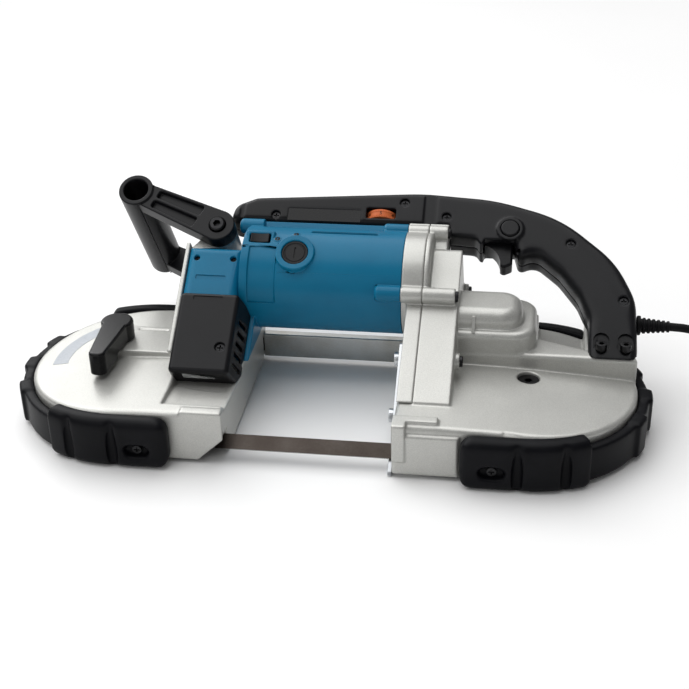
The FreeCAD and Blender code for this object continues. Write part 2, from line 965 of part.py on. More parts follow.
def case_screw_rooms(gap):
    """Holes for the case screws, with a gap round the shanks and a deeper seat for each head."""
    rooms = []
    for v, w, left, right in case_screws:
        seat = right - case_screw_head
        rooms.append(lean(rod(case_screw_radius + gap, V(left + overrun, v, w), V(seat, v, w))))
        rooms.append(lean(rod(case_screw_head_radius + slip, V(seat, v, w), V(right + overrun, v, w))))
    return rooms


def case_barrel(x0, x1):
    """Part of the case that carries on the round of the motor."""
    return lean(rod(motor_radius, V(x0, motor_v, motor_w), V(x1, motor_v, motor_w)))


def case_tier(x0, x1):
    """Step of the case under the handle."""
    return lean(box(x0, x1, motor_v, saddle_v, saddle_back_w, case_tier_front_w))


def gear_room(radius, x0, x1, v):
    return lean(rod(radius, V(x0, v, second_w), V(x1, v, second_w)))


def dome_solids():
    """Two rounded tiers over the bevel gears."""
    low = slab([
        (dome_left_x, dome_low_front_y, 0), (dome_right_x, dome_low_front_y, dome_corner),
        (dome_right_x, dome_back_y, dome_corner), (dome_left_x, dome_back_y, 0),
    ], platform_z - roof_wall, dome_low_z)
    low = round_edges(low, dome_low_round, lambda edge: edge.BoundBox.ZMin > dome_low_z - touch
                      and edge.BoundBox.XMax > dome_left_x + touch)
    high = slab([
        (dome_left_x, dome_high_front_y, 0), (dome_high_right_x, dome_high_front_y, dome_corner),
        (dome_high_right_x, dome_high_back_y, dome_corner), (dome_left_x, dome_high_back_y, 0),
    ], dome_low_z - roof_wall, dome_high_z)
    high = round_edges(high, dome_high_round, lambda edge: edge.BoundBox.ZMin > dome_high_z - touch
                       and edge.BoundBox.XMax > dome_left_x + touch)
    return [low, high]


def platform_bay(margin):
    """Room behind the platform, between dome and handle foot, where the roof stays low."""
    left, right = dome_right_x + bay_gap - margin, foot_left_x - bay_gap + margin
    front = bay_front_y - margin
    return slab(sharp([(left, front), (right, front - bay_slope), (right, far), (left, far)]), -overrun, far)


def make_right_frame():
    platform_blank = pan_face(1, rim_radius, platform_left_x)
    platform_blank.translate(V(0, 0, roof_rim_z - roof_wall))
    platform = platform_blank.extrude(V(0, 0, platform_z - roof_rim_z + roof_wall))
    platform = platform.common(box(platform_left_x, far, platform_front_y, far, -far, far))
    platform = cut(platform, platform_bay(0))
    platform = round_edges(platform, platform_round, lambda edge: edge.BoundBox.ZMin > platform_z - touch)
    pocket_face = pan_face(1, rim_radius - housing_wall, pocket_left_x)
    pocket_face.translate(V(0, 0, -overrun))
    pocket = pocket_face.extrude(V(0, 0, platform_z - roof_wall + overrun))
    pocket = pocket.common(box(pocket_left_x, far, platform_front_y + housing_wall, far, -far, far))
    pocket = cut(pocket, platform_bay(housing_wall))
    case = lean(bar_x(case_profile(), case_seam_x, case_right_x)).common(above(roof_rim_z))
    corner_pad = box(throat_right, corner_pad_right_x, corner_pad_y, -rim_radius + front_wall,
                     housing_foot, roof_middle_z - roof_round)
    corner_pad = round_edges(corner_pad, front_wall, lambda edge: edge.BoundBox.YMax < corner_pad_y + touch)
    rib_front = -rim_radius + roof_round
    rib = box(throat_right, corner_rib_right_x, rib_front, rib_front + corner_rib_width, roof_rim_z,
              corner_rib_z)
    axle_boss = rod_z(axle_boss_radius, wheel_x, 0, wheel_gear_low + wheel_gear_width + axle_boss_gap,
                      roof_middle_z - roof_wall / 2)
    post = box(throat_right, corner_post_right_x, corner_pad_y - corner_post_rise, rib_front,
               corner_post_low_z, corner_rib_z)
    post = round_edges(post, corner_post_rise, lambda edge: edge.BoundBox.YMax < corner_pad_y)
    barrel = case_barrel(case_seam_x, case_barrel_right_x)
    barrel = round_edges(barrel, case_barrel_round,
                         lambda edge: edge.BoundBox.XMin > case_barrel_right_x - touch)
    pan = fuse(housing_block(1, throat_right), platform, corner_pad, rib, post, *dome_solids())
    tower = fuse(case, barrel, case_tier(case_seam_x, case_tier_right_x),
                 *case_bosses(case_seam_x, case_boss_right_x))
    solid = fuse(pan, tower)
    solid = fuse(cut(solid, *housing_rooms(1, throat_right)), axle_boss)
    tip = addendum_share * motor_module + case_gear_room
    gear_radius = motor_module * second_gear_teeth / 2 + tip
    pinion_radius = motor_module * motor_pinion_teeth / 2 + tip
    gear_end = motor_gear_x + motor_pinion_width + case_gear_room
    rooms = [
        gear_room(gear_radius, case_seam_x - overrun, gear_end, second_v),
        gear_room(pinion_radius, case_seam_x - overrun, gear_end, motor_v),
        gear_room(second_right_bearing_radius, case_seam_x,
                  second_right_bearing_x + second_right_bearing_width,
                  second_v),
        gear_room(bevel_pinion_radius + bevel_room + bevel_module, case_seam_x, pinion_room_right_x,
                  second_v),
        rod_z(bevel_gear_radius + bevel_room, upright_x, second_y, carrier_low,
              second_z - bevel_pinion_radius + bevel_room + 2 * bevel_module),
        rod_z(carrier_radius, upright_x, second_y, -overrun, carrier_high + slip),
        rod_z(carrier_flange_radius, upright_x, second_y, -overrun, carrier_low + carrier_flange),
        rod_z(axle_radius, wheel_x, 0, 0, far),
        rod_z(axle_recess_radius, wheel_x, 0, roof_middle_z - axle_head_recess, far),
        pocket,
    ]
    rooms += [rod_z(foot_screw_radius, x, y, 0, far) for x, y in foot_screw_places()]
    rooms += stop_bolt_holes(stop_bolt_radius) + blade_notches(throat_right)
    add("right_frame", cut(solid, *rooms, *case_screw_rooms(slip)))


def make_gear_cover():
    """Motor-side casting that closes the gear case and centres the motor."""
    plate = lean(bar_x(case_profile(), throat_right, case_seam_x))
    solid = fuse(plate, case_barrel(motor_right, case_seam_x), case_tier(motor_right, case_seam_x),
                 *case_bosses(motor_right, case_seam_x)).common(above(case_floor_z))
    tip = addendum_share * motor_module + case_gear_room
    nose_end = nose_bearing_left + nose_bearing_width
    rooms = [
        gear_room(nose_bearing_radius, nose_bearing_left, nose_end, motor_v),
        gear_room(nose_bearing_radius - bearing_boss_wall, motor_right - overrun, case_seam_x + overrun,
                  motor_v),
        gear_room(fan_radius + stator_gap, motor_right - overrun, motor_right + housing_wall / 2, motor_v),
        gear_room(second_left_bearing_radius, second_shaft_left, case_seam_x + overrun, second_v),
        gear_room(motor_module * second_gear_teeth / 2 + tip, case_seam_x - tip, case_seam_x + overrun,
                  second_v),
    ]
    rooms += case_screw_rooms(0) + stop_bolt_holes(stop_bolt_radius)
    add("gear_cover", cut(solid, *rooms))


def stop_bolt_holes(radius):
    holes = []
    for v in (stop_bolt_high_v, stop_bolt_low_v):
        start = V(throat_right - overrun, v, stop_bolt_w)
        holes.append(lean(rod(radius, start, V(throat_right + stop_bolt_reach, v, stop_bolt_w))))
    return holes


def make_gear_case_screws():
    screws = []
    for v, w, left, right in case_screws:
        seat = right - case_screw_head
        head = rod(case_screw_head_radius, V(seat, v, w), V(right, v, w))
        shank = rod(case_screw_radius, V(left + overrun, v, w), V(seat, v, w))
        screws.append(lean(fuse(head, shank)))
    add("cap_screws", *screws)


def make_wheel(name, side, hub_high, web_low):
    """Spoked cast wheel; the tyre sits on its rim and the bearings in its hub."""
    x = side * wheel_x
    rim = ring_z(wheel_radius, wheel_radius - wheel_rim_thickness, x, 0, wheel_low, wheel_high)
    web = rod_z(wheel_radius - wheel_rim_thickness / 2, x, 0, web_low, web_low + wheel_web)
    hub = rod_z(wheel_hub_radius, x, 0, wheel_hub_low, hub_high)
    bearing_room = wheel_bearing_radius + running_fit
    holes = [rod_z(bearing_room, x, 0, wheel_hub_low - overrun, hub_high + overrun)]
    for index in range(wheel_hole_count):
        angle = math.radians(full_turn * index / wheel_hole_count)
        hole_x, hole_y = x + wheel_hole_ring * math.cos(angle), wheel_hole_ring * math.sin(angle)
        holes.append(rod_z(wheel_hole_radius, hole_x, hole_y, web_low - overrun,
                           web_low + wheel_web + overrun))
    add(name, cut(fuse(rim, web, hub), *holes))


def make_tyre(name, side):
    add(name, ring_z(tyre_radius, wheel_radius, side * wheel_x, 0, wheel_low, wheel_high))


def make_wheel_bearings(name, side, hub_high):
    x = side * wheel_x
    low_end = wheel_hub_low + wheel_bearing_width
    high_start = hub_high - wheel_bearing_width
    add(name, ring_z(wheel_bearing_radius, axle_radius, x, 0, wheel_hub_low, low_end),
        ring_z(wheel_bearing_radius, axle_radius, x, 0, high_start, hub_high))


def axle_ring(x):
    """Snap ring that keeps a wheel on its axle."""
    groove = axle_radius - axle_ring_thickness / 2
    low = wheel_hub_low - slip - axle_ring_thickness
    return ring_z(axle_ring_radius, groove, x, 0, low, low + axle_ring_thickness)


def grooved_axle(x, top):
    axle = rod_z(axle_radius, x, 0, axle_low, top)
    return cut(axle, axle_ring(x))


def make_drive_axle():
    head_low = roof_middle_z - axle_head_recess
    head = rod_z(axle_head_radius, wheel_x, 0, head_low, head_low + axle_head_recess / 2)
    add("drive_axle", fuse(grooved_axle(wheel_x, head_low), head))
    add("drive_axle", axle_ring(wheel_x))


def make_wheel_gear():
    """Spur gear bolted to the drive wheel's web."""
    top = wheel_gear_low + wheel_gear_width
    gear = spur_gear_z(wheel_gear_teeth, wheel_module, wheel_mesh_angle, wheel_x, 0, wheel_gear_low, top)
    seat = ring_z(wheel_gear_web_radius, wheel_hub_radius, wheel_x, 0, drive_web_top, wheel_gear_low)
    room = rod_z(wheel_hub_radius, wheel_x, 0, wheel_gear_low - overrun, top + overrun)
    add("wheel_gear", cut(fuse(gear, seat), room))


def make_upright_shaft():
    """Vertical shaft with the wheel pinion at its foot and the bevel gear on top."""
    top = wheel_gear_low + wheel_gear_width
    phase = wheel_mesh_angle + half_turn + half_turn / wheel_pinion_teeth
    pinion = spur_gear_z(wheel_pinion_teeth, wheel_module, phase, upright_x, second_y, wheel_gear_low, top)
    bevel_seat = second_z - bevel_pinion_radius - dedendum_share * bevel_module - bevel_gear_back
    shaft = rod_z(upright_shaft_radius, upright_x, second_y, wheel_gear_low, bevel_seat)
    add("upright_shaft", fuse(pinion, shaft))
    gear = bevel_gear(bevel_gear_teeth, bevel_pinion_teeth, half_turn, bevel_gear_back)
    gear.translate(V(upright_x, second_y, second_z))
    add("bevel_gear", cut(gear, rod_z(upright_shaft_radius, upright_x, second_y, 0, bevel_seat)))


def make_upright_bearings():
    rings = []
    for low in (upright_low_bearing_z, upright_high_bearing_z):
        bore = upright_shaft_radius + running_fit
        rings.append(ring_z(upright_bearing_radius, bore, upright_x, second_y, low,
                            low + upright_bearing_width))
    add("gear_train_bearings", *rings)


def make_bearing_carrier():
    """Flanged bush under the dome that holds the two bearings of the vertical shaft."""
    body = rod_z(carrier_radius, upright_x, second_y, carrier_low, carrier_high)
    flange = rod_z(carrier_flange_radius, upright_x, second_y, carrier_low, carrier_low + carrier_flange)
    room = upright_shaft_radius + overrun
    bores = [rod_z(room, upright_x, second_y, carrier_low - overrun, carrier_high + overrun)]
    low_end = upright_low_bearing_z + upright_bearing_width
    bores.append(rod_z(upright_bearing_radius, upright_x, second_y, carrier_low - overrun, low_end))
    bores.append(rod_z(upright_bearing_radius, upright_x, second_y, upright_high_bearing_z,
                       carrier_high + overrun))
    add("bearing_carrier", cut(fuse(body, flange), *bores))


def make_second_shaft():
    """Cross shaft: large spur gear in the case, bevel pinion under the dome."""
    pinion_heel = upright_x - bevel_gear_radius
    pinion = bevel_gear(bevel_pinion_teeth, bevel_gear_teeth, bevel_pinion_phase, bevel_gear_back)
    pinion.rotate(ORIGIN, AXIS_Y, half_turn / 2)
    pinion.translate(V(upright_x, second_y, second_z))
    shaft = rod_x(second_shaft_radius, second_shaft_left, pinion_heel - bevel_gear_back, second_y, second_z)
    add("second_shaft", fuse(shaft, pinion))
    gear = spur_gear_x(second_gear_teeth, motor_module, 0, motor_gear_x, motor_gear_x + motor_gear_width)
    gear.translate(V(0, second_v, second_w))
    bore = rod_x(second_shaft_radius, motor_gear_x - overrun, motor_gear_x + 2 * motor_gear_width, second_v,
                 second_w)
    add("second_shaft", lean(cut(gear, bore)))


def make_second_bearings():
    bore = second_shaft_radius + running_fit
    left_end = second_shaft_left + second_left_bearing_width
    right_end = second_right_bearing_x + second_right_bearing_width
    left = ring_x(second_left_bearing_radius, bore, second_shaft_left, left_end, second_v, second_w)
    right = ring_x(second_right_bearing_radius, bore, second_right_bearing_x, right_end, second_v, second_w)
    add("gear_train_bearings", lean(left), lean(right))


def motor_rod(radius, x0, x1):
    return rod_x(radius, x0, x1, motor_v, motor_w)


def motor_ring(outer, inner, x0, x1):
    return ring_x(outer, inner, x0, x1, motor_v, motor_w)


def make_armature():
    pinion_end = motor_gear_x + motor_pinion_width
    shaft = motor_rod(shaft_radius, rear_bearing_left, nose_bearing_left + nose_bearing_width)
    neck_radius = motor_module * (motor_pinion_teeth / 2 - dedendum_share)
    neck = motor_rod(neck_radius, nose_bearing_left, motor_gear_x)
    phase = half_turn + half_turn / motor_pinion_teeth
    pinion = spur_gear_x(motor_pinion_teeth, motor_module, phase, motor_gear_x, pinion_end)
    pinion.translate(V(0, motor_v, motor_w))
    add("armature_shaft", lean(fuse(shaft, neck, pinion)))
    slots = []
    core = motor_ring(core_radius, shaft_radius, core_left, core_right)
    for index in range(armature_slots):
        slot = box(core_left - overrun, core_right + overrun, core_radius - armature_slot_depth,
                   core_radius + overrun, -armature_slot_width / 2, armature_slot_width / 2)
        slot.rotate(ORIGIN, AXIS_X, full_turn * index / armature_slots)
        slot.translate(V(0, motor_v, motor_w))
        slots.append(slot)
    add("armature_core", lean(cut(core, *slots)))
    add("commutator", lean(motor_ring(commutator_radius, shaft_radius, commutator_left, commutator_right)))


def make_fan():
    hub = motor_ring(fan_hub_radius, shaft_radius, fan_left, fan_right)
    disc = motor_ring(fan_radius, shaft_radius, fan_left, fan_left + fan_back)
    blades = []
    for index in range(fan_blade_count):
        blade = box(fan_left, fan_right, fan_hub_radius - fan_blade, fan_radius - fan_blade,
                    -fan_blade / 2, fan_blade / 2)
        blade.rotate(ORIGIN, AXIS_X, full_turn * index / fan_blade_count)
        blade.translate(V(0, motor_v, motor_w))
        blades.append(blade)
    add("cooling_fan", lean(cut(fuse(hub, disc, *blades), motor_rod(shaft_radius, fan_left, fan_right))))


def make_stator():
    shell_bore = motor_radius - motor_shell
    add("stator_core", lean(motor_ring(shell_bore, core_radius + stator_gap, core_left, core_right)))
    left = motor_ring(coil_outer_radius, coil_inner_radius, core_left - coil_reach, core_left)
    right = motor_ring(coil_outer_radius, coil_inner_radius, core_right, core_right + coil_reach)
    add("field_coils", lean(left), lean(right))


def make_motor_bearings():
    bore = shaft_radius + running_fit
    rear = motor_ring(rear_bearing_radius, bore, rear_bearing_left, rear_bearing_left + rear_bearing_width)
    nose = motor_ring(nose_bearing_radius, bore, nose_bearing_left, nose_bearing_left + nose_bearing_width)
    add("gear_train_bearings", lean(rear), lean(nose))


def brush_rod(side, radius, start, end):
    """Rod on the brush line, from one distance to another off the motor axis."""
    near, away = motor_w + side * start, motor_w + side * end
    return rod(radius, V(brush_x, motor_v, near), V(brush_x, motor_v, away))


def brush_block(side, half, start, end):
    low, high = sorted((motor_w + side * start, motor_w + side * end))
    return box(brush_x - half, brush_x + half, motor_v - half, motor_v + half, low, high)


def make_brush_gear():
    brushes, holders, caps = [], [], []
    tube_start = commutator_radius + brush_tube_wall
    cap_top = motor_radius + brush_ring_rise / 2
    cap_low = cap_top - brush_cap_depth
    for side in (-1, 1):
        half = brush_side / 2
        brush_start = commutator_radius + slip
        brushes.append(lean(brush_block(side, half - running_fit, brush_start, brush_start + brush_reach)))
        tube = brush_block(side, half + brush_tube_wall, tube_start, cap_low)
        holders.append(lean(cut(tube, brush_block(side, half, tube_start - overrun, cap_low + overrun))))
        cap = brush_rod(side, brush_cap_radius, cap_low, cap_top)
        slot_half = brush_tube_wall
        slot_ends = (motor_w + side * (cap_top - brush_tube_wall), motor_w + side * (cap_top + overrun))
        slot_low, slot_high = sorted(slot_ends)
        slot = box(brush_x - brush_cap_radius * cap_slot_share, brush_x + brush_cap_radius * cap_slot_share,
                   motor_v - slot_half, motor_v + slot_half, slot_low, slot_high)
        caps.append(lean(cut(cap, slot)))
    add("brush_holders", *brushes)
    add("brush_holders", *holders)
    add("brush_caps", *caps)


def bezel_box(margin, low_w, high_w):
    half_length, half_height = bezel_length / 2 - margin, bezel_height / 2 - margin
    return box(lamp_switch_x - half_length, lamp_switch_x + half_length,
               lamp_switch_v - half_height, lamp_switch_v + half_height, low_w, high_w)


def left_frame_room():
    """Space taken by the top of the left housing, its scoop and plateau, with a slip all round."""
    roof_top = roof_throat_z + slip
    scoop_edge = scoop_back_y - slip
    floor = bar_x(sharp([
        (-far, -far), (far, -far), (far, roof_top), (scoop_edge, roof_top), (scoop_edge, scoop_low_z + slip),
        (scoop_front_y, scoop_high_z + slip), (-far, scoop_high_z + slip),
    ]), -far, far)
    plateau = box(-far, plateau_right_x + slip, plateau_front_y - slip, plateau_back_y + slip, 0,
                  plateau_z + slip)
    beside_scoop = box(-far, scoop_left_x + slip, -far, scoop_back_y, 0, roof_top)
    return fuse(floor, plateau, beside_scoop)


def make_motor_housing():
    """Moulded motor body with its saddle for the handle and its foot on the left housing."""
    barrel = motor_rod(motor_radius, motor_left, motor_right)
    shoulder_v = motor_v + motor_radius
    saddle = slab([
        (saddle_left, saddle_v, 0), (saddle_left, shoulder_v, saddle_round), (motor_left, shoulder_v, 0),
        (motor_left, motor_v, 0), (motor_right, motor_v, 0), (motor_right, saddle_v, 0),
    ], saddle_back_w, saddle_front_w)
    foot = box(motor_left, motor_foot_right, motor_foot_low_v, motor_v, motor_foot_back_w, motor_foot_front_w)
    ring_top = motor_radius + brush_ring_rise
    rings = [brush_rod(side, brush_ring_radius, brush_ring_radius, ring_top) for side in (-1, 1)]
    bezel = bezel_box(0, motor_w, bezel_w)
    bezel = round_edges(bezel, bezel_wall / 2, lambda edge: edge.BoundBox.ZMin > bezel_w - touch)
    solid = fuse(barrel, saddle, foot, bezel, *rings, *motor_bosses())
    bore = motor_radius - motor_shell
    cap_seat = motor_radius + brush_ring_rise / 2 - brush_cap_depth
    rooms = [motor_rod(bore, motor_left + motor_end_wall, motor_right + overrun)]
    rooms += [brush_rod(side, brush_cap_radius, cap_seat, motor_radius + 2 * overrun) for side in (-1, 1)]
    rooms += [box(motor_left - overrun, motor_foot_right - motor_shell, motor_foot_low_v - overrun,
                  motor_v - motor_radius - motor_shell, motor_foot_back_w + motor_shell,
                  motor_foot_front_w - motor_shell)]
    rooms.append(bezel_box(bezel_wall, bezel_w - rocker_depth, bezel_w + overrun))
    rooms.append(box(vent_left_x, vent_right_x, vent_v - vent_width / 2, vent_v + vent_width / 2,
                     vent_low_w, far))
    panel = motor_ring(motor_radius + overrun, motor_radius - panel_sink, panel_left_x, panel_right_x)
    rooms.append(panel.common(box(panel_left_x, panel_right_x, panel_low_v, panel_top_v, motor_w, far)))
    solid = cut(solid, *rooms)
    boss_radius_out = rear_bearing_radius + bearing_boss_wall
    boss = motor_rod(boss_radius_out, motor_left, rear_bearing_left + rear_bearing_width)
    boss = cut(boss, motor_rod(rear_bearing_radius, rear_bearing_left, far))
    supports = [brush_sleeve(side) for side in (-1, 1)]
    add("motor_housing", cut(lean(fuse(solid, boss, *supports)), left_frame_room(), *case_screw_rooms(0)))


def motor_bosses():
    """Round ends on the barrel: two for the case screws and one at the top left."""
    places = [(left, v, w) for v, w, left, right in case_screws if left < motor_right]
    places.append((motor_boss_left_x, case_top_screw_v, case_top_screw_w))
    bosses = []
    for x, v, w in places:
        boss = rod_x(case_boss_radius, x, x + motor_boss_length, v, w)
        bosses.append(round_edges(boss, case_boss_radius / 2, lambda edge: edge.BoundBox.XMax < x + touch))
    return bosses


def brush_sleeve(side):
    """Moulded pocket that holds a brush tube from the barrel wall inwards."""
    half = brush_side / 2 + brush_tube_wall
    start = motor_radius - motor_shell - brush_reach
    seat = motor_radius + brush_ring_rise / 2 - brush_cap_depth
    sleeve = brush_block(side, half + motor_shell, start, seat)
    cup = brush_rod(side, brush_cap_radius + brush_cup_wall, seat - brush_cup_wall,
                    motor_radius - motor_shell / 2)
    return cut(fuse(sleeve, cup), brush_block(side, half, start - overrun, motor_radius + overrun),
               brush_rod(side, brush_cap_radius, seat, 2 * motor_radius))


def make_lamp_switch():
    """Rocker in its bezel, turning on a pin across the bezel."""
    half_length = bezel_length / 2 - bezel_wall - rocker_end_gap
    half_height = bezel_height / 2 - bezel_wall - slip
    low = bezel_w - rocker_depth + 2 * rocker_rise
    profile = [
        (lamp_switch_x - half_length, low + rocker_rise, rocker_rise),
        (lamp_switch_x + half_length, low + rocker_rise, rocker_rise),
        (lamp_switch_x + half_length, bezel_w + rocker_rise, rocker_rise / 2),
        (lamp_switch_x, bezel_w - rocker_rise / 2, bezel_length),
        (lamp_switch_x - half_length, bezel_w + rocker_rise, rocker_rise / 2),
    ]
    rocker = slab(profile, -half_height, half_height)
    rocker.rotate(ORIGIN, AXIS_X, half_turn / 2)
    rocker.translate(V(0, lamp_switch_v, 0))
    pin_w = bezel_w - rocker_depth / 2
    pin = rod(rocker_pin_radius, V(lamp_switch_x, lamp_switch_v - half_height - slip, pin_w),
              V(lamp_switch_x, lamp_switch_v + half_height + slip, pin_w))
    add("lamp_switch", lean(fuse(rocker, pin)))


def controller_body(low_w, high_w, margin):
    low_v, top_v = controller_low_v + margin, controller_top_v - margin
    return box(controller_left_x + margin, controller_right_x - margin, low_v, top_v, low_w, high_w)


def make_controller_case():
    """Two moulded halves behind the lamp box that hold the speed controller."""
    cover = controller_body(controller_split_w + touch, controller_front_w, 0)
    cover = round_edges(cover, controller_round, lambda edge: edge.BoundBox.ZMin > controller_front_w - touch)
    step = box(controller_left_x - overrun, motor_left, controller_low_v - overrun, controller_step_v,
               controller_step_w, controller_front_w + overrun)
    room = controller_body(controller_split_w - overrun, controller_step_w - controller_wall, controller_wall)
    holes = [rod(lamp_wall, V(x, controller_top_v - controller_screw_drop, controller_split_w),
                 V(x, controller_top_v - controller_screw_drop, far)) for x in controller_screw_xs]
    add("controller_cover", cut(lean(cut(cover, step, room, *holes)), left_frame_room()))
    back = controller_body(controller_back_w, controller_split_w, 0)
    room = controller_body(controller_back_w + controller_wall, controller_split_w + overrun, controller_wall)
    add("controller_case", cut(lean(cut(back, room)), left_frame_room()))


def make_controller_screws():
    screws = []
    for x in controller_screw_xs:
        v = controller_top_v - controller_screw_drop
        screws.append(lean(rod(lamp_wall - touch, V(x, v, controller_split_w + controller_wall),
                               V(x, v, controller_front_w - controller_wall))))
    add("cover_screws", *screws)


def make_speed_controller():
    """Potted circuit of the speed control, against the left wall of its case."""
    left = controller_left_x + controller_wall
    block = box(left, left + board_length, board_low_v, board_low_v + board_height, board_low_w,
                board_low_w + board_thickness)
    add("speed_controller", lean(block))


def lamp_block(margin):
    """Lamp box without its back wall, drawn in by a margin and rounded at the front."""
    back_w = controller_step_w + slip
    block = bar_y(sharp([
        (lamp_left_x + margin, back_w), (lamp_back_right_x - margin, back_w),
        (lamp_right_x - margin, lamp_front_w - margin), (lamp_left_x + margin, lamp_front_w - margin),
    ]), lamp_low_v + margin, lamp_top_v - margin)
    return round_edges(block, lamp_round, lambda edge: edge.BoundBox.ZMin > lamp_front_w - margin - touch
                       or edge.BoundBox.ZLength > lamp_front_w - controller_step_w - lamp_round - margin)


def make_lamp_box():
    middle_x = (lamp_left_x + lamp_right_x) / 2
    lens_left, lens_right = middle_x - lens_length / 2, middle_x + lens_length / 2
    lens_back, lens_front = lens_w - lens_width / 2, lens_w + lens_width / 2
    rooms = [lamp_block(lamp_wall)]
    rooms.append(box(lens_left, lens_right, lamp_low_v - overrun, lamp_low_v + lamp_wall + overrun,
                     lens_back, lens_front))
    for index in range(louvre_count):
        low = lamp_low_v + louvre_start + index * louvre_step
        rooms.append(box(lamp_right_x - lamp_wall - overrun, lamp_back_right_x + overrun, low,
                         low + louvre_height,
                         controller_step_w + louvre_inset, lamp_front_w - louvre_inset - lamp_round))
    rooms.append(rod(lamp_screw_radius, V(lamp_screw_x, lamp_screw_v, controller_step_w),
                     V(lamp_screw_x, lamp_screw_v, far)))
    rooms.append(motor_rod(motor_radius + slip, motor_left - slip, motor_right))
    add("lamp_box", cut(lean(cut(lamp_block(0), *rooms)), left_frame_room()))
    add("lamp_lens", lean(box(lens_left, lens_right, lamp_low_v, lamp_low_v + lens_thickness, lens_back,
                              lens_front)))
    tube_v = lamp_low_v + lens_width
    tube = rod_x(lens_width / 2, lens_left, lens_right, tube_v, lens_w)
    holder_v = tube_v + lens_width / 2
    holder = box(lamp_left_x + lamp_wall, lens_right, holder_v, holder_v + lens_width, lamp_holder_w, lens_w)
    add("lamp_tube", lean(tube), lean(holder))
    screw = rod(lamp_screw_radius - touch, V(lamp_screw_x, lamp_screw_v, lamp_holder_w),
                V(lamp_screw_x, lamp_screw_v, lamp_screw_top_w))
    add("cover_screws", lean(screw))


def make_tension_lever():
    """Quick-release lever on top of the left housing, with its shaft and cam below."""
    hub_low = plateau_z + slip
    hub = rod_z(lever_hub_radius, lever_x, lever_y, hub_low, lever_top_z)
    hub = round_edges(hub, lever_round, lambda edge: edge.BoundBox.ZMin > lever_top_z - touch)
    half = lever_arm_width / 2
    corner = half - lever_round / 2
    root = lever_hub_radius - lever_round
    arm = slab([
        (lever_x - root, lever_y, 0), (lever_x - half, lever_y - lever_reach, corner),
        (lever_x + half, lever_y - lever_reach, corner), (lever_x + root, lever_y, 0),
    ], lever_tip_low_z, lever_top_z)
    arm = round_edges(arm, lever_round, lambda edge: edge.BoundBox.ZMin > lever_top_z - touch
                      and edge.BoundBox.YMin < lever_y - touch)
    under = box(lever_x - lever_hub_radius, lever_x + lever_hub_radius, lever_y - lever_tip_start,
                lever_y + overrun,
                lever_tip_low_z - overrun, lever_arm_low_z)
    add("tension_lever", fuse(hub, cut(arm, under)))
    shaft = rod_z(lever_shaft_radius, lever_x, lever_y, cam_low_z, hub_low)
    cam = rod_z(cam_radius, lever_x - cam_throw, lever_y, cam_low_z, cam_high_z)
    add("tension_cam", fuse(shaft, cam))


def make_idler_carriage():
    """Slide under the roof that carries the idler axle and is pushed out by the cam."""
    plate = box(carriage_left_x, carriage_right_x, -carriage_half_width, carriage_half_width,
                carriage_low_z, carriage_high_z)
    lug_right = lever_x - cam_throw - cam_radius - cam_gap
    lug = box(carriage_left_x, lug_right, carriage_half_width, carriage_lug_y, carriage_low_z,
              carriage_high_z)
    cam_room = rod_z(lever_x - cam_throw - lug_right, lever_x - cam_throw, lever_y,
                     carriage_low_z - overrun, carriage_high_z + overrun)
    slide_room = cam_room.copy()
    slide_room.translate(V(2 * cam_throw, 0, 0))
    add("idler_carriage", cut(fuse(plate, lug), cam_room, slide_room, rod_z(
        axle_radius, -wheel_x, 0, carriage_low_z - overrun, carriage_high_z + overrun)))
    add("idler_axle", grooved_axle(-wheel_x, carriage_high_z))
    add("idler_axle", axle_ring(-wheel_x))


def handle_point(x_share, v_share):
    length = handle_right_x - handle_left_x
    return handle_left_x + x_share * length, handle_low_v + v_share * (handle_top_v - handle_low_v)


def handle_corners(shares):
    height = handle_top_v - handle_low_v
    return [handle_point(x_share, v_share) + (radius_share * height,)
            for x_share, v_share, radius_share in shares]


def handle_outline():
    """Side view of the handle: long top strip, D grip, and the foot on the right housing."""
    slot_right, slot_left = trigger_right_x + 2 * slip, trigger_left_x - 2 * slip
    corners = [(handle_left_x, saddle_v + slip, saddle_round)] + handle_corners(grip_outer_shares)
    corners += [(handle_right_x, handle_low_v, 0), (foot_left_x, handle_low_v, 0)]
    corners += handle_corners(grip_inner_shares)
    corners += [(slot_right, trigger_slot_v, 0), (slot_left, trigger_slot_v, 0)]
    corners += handle_corners(guard_lip_shares)
    step_x, low_v = case_tier_right_x + slip, saddle_v + slip
    return corners + [(step_x, low_v - guard_low_drop, 0), (step_x, low_v, 0)]


def handle_half(low_w, high_w, outer_w):
    """One moulded half: rounded outer rim, hollow inside, with its screw bosses."""
    face = Part.Face(rounded_wire(handle_outline()))
    solid = face.copy()
    solid.translate(V(0, 0, low_w))
    solid = solid.extrude(V(0, 0, high_w - low_w))

    def on_face(edge):
        return abs(edge.BoundBox.ZMin - outer_w) < touch and abs(edge.BoundBox.ZMax - outer_w) < touch

    def on_back(edge):
        return on_face(edge) and edge.BoundBox.YMin > saddle_v + handle_wall

    def on_palm(edge):
        return on_face(edge) and abs(edge.BoundBox.XMin - foot_left_x) + edge.BoundBox.XLength < touch

    solid = round_edges(round_edges(solid, handle_round, on_back), handle_round, on_palm)
    inset = face.makeOffset2D(-handle_wall)
    room_low = low_w - overrun if outer_w == high_w else low_w + handle_wall
    room_high = high_w - handle_wall if outer_w == high_w else high_w + overrun
    inset.translate(V(0, 0, room_low))
    room = inset.extrude(V(0, 0, room_high - room_low))
    solid = cut(solid, room)
    bosses = []
    for x_share, v_share in handle_screw_shares:
        x, v = handle_point(x_share, v_share)
        boss_low = max(low_w, handle_back_w + handle_wall / 2)
        boss_high = min(high_w, handle_front_w - handle_wall / 2)
        bosses.append(rod(handle_boss_radius, V(x, v, boss_low), V(x, v, boss_high)))
    return fuse(solid, *bosses)


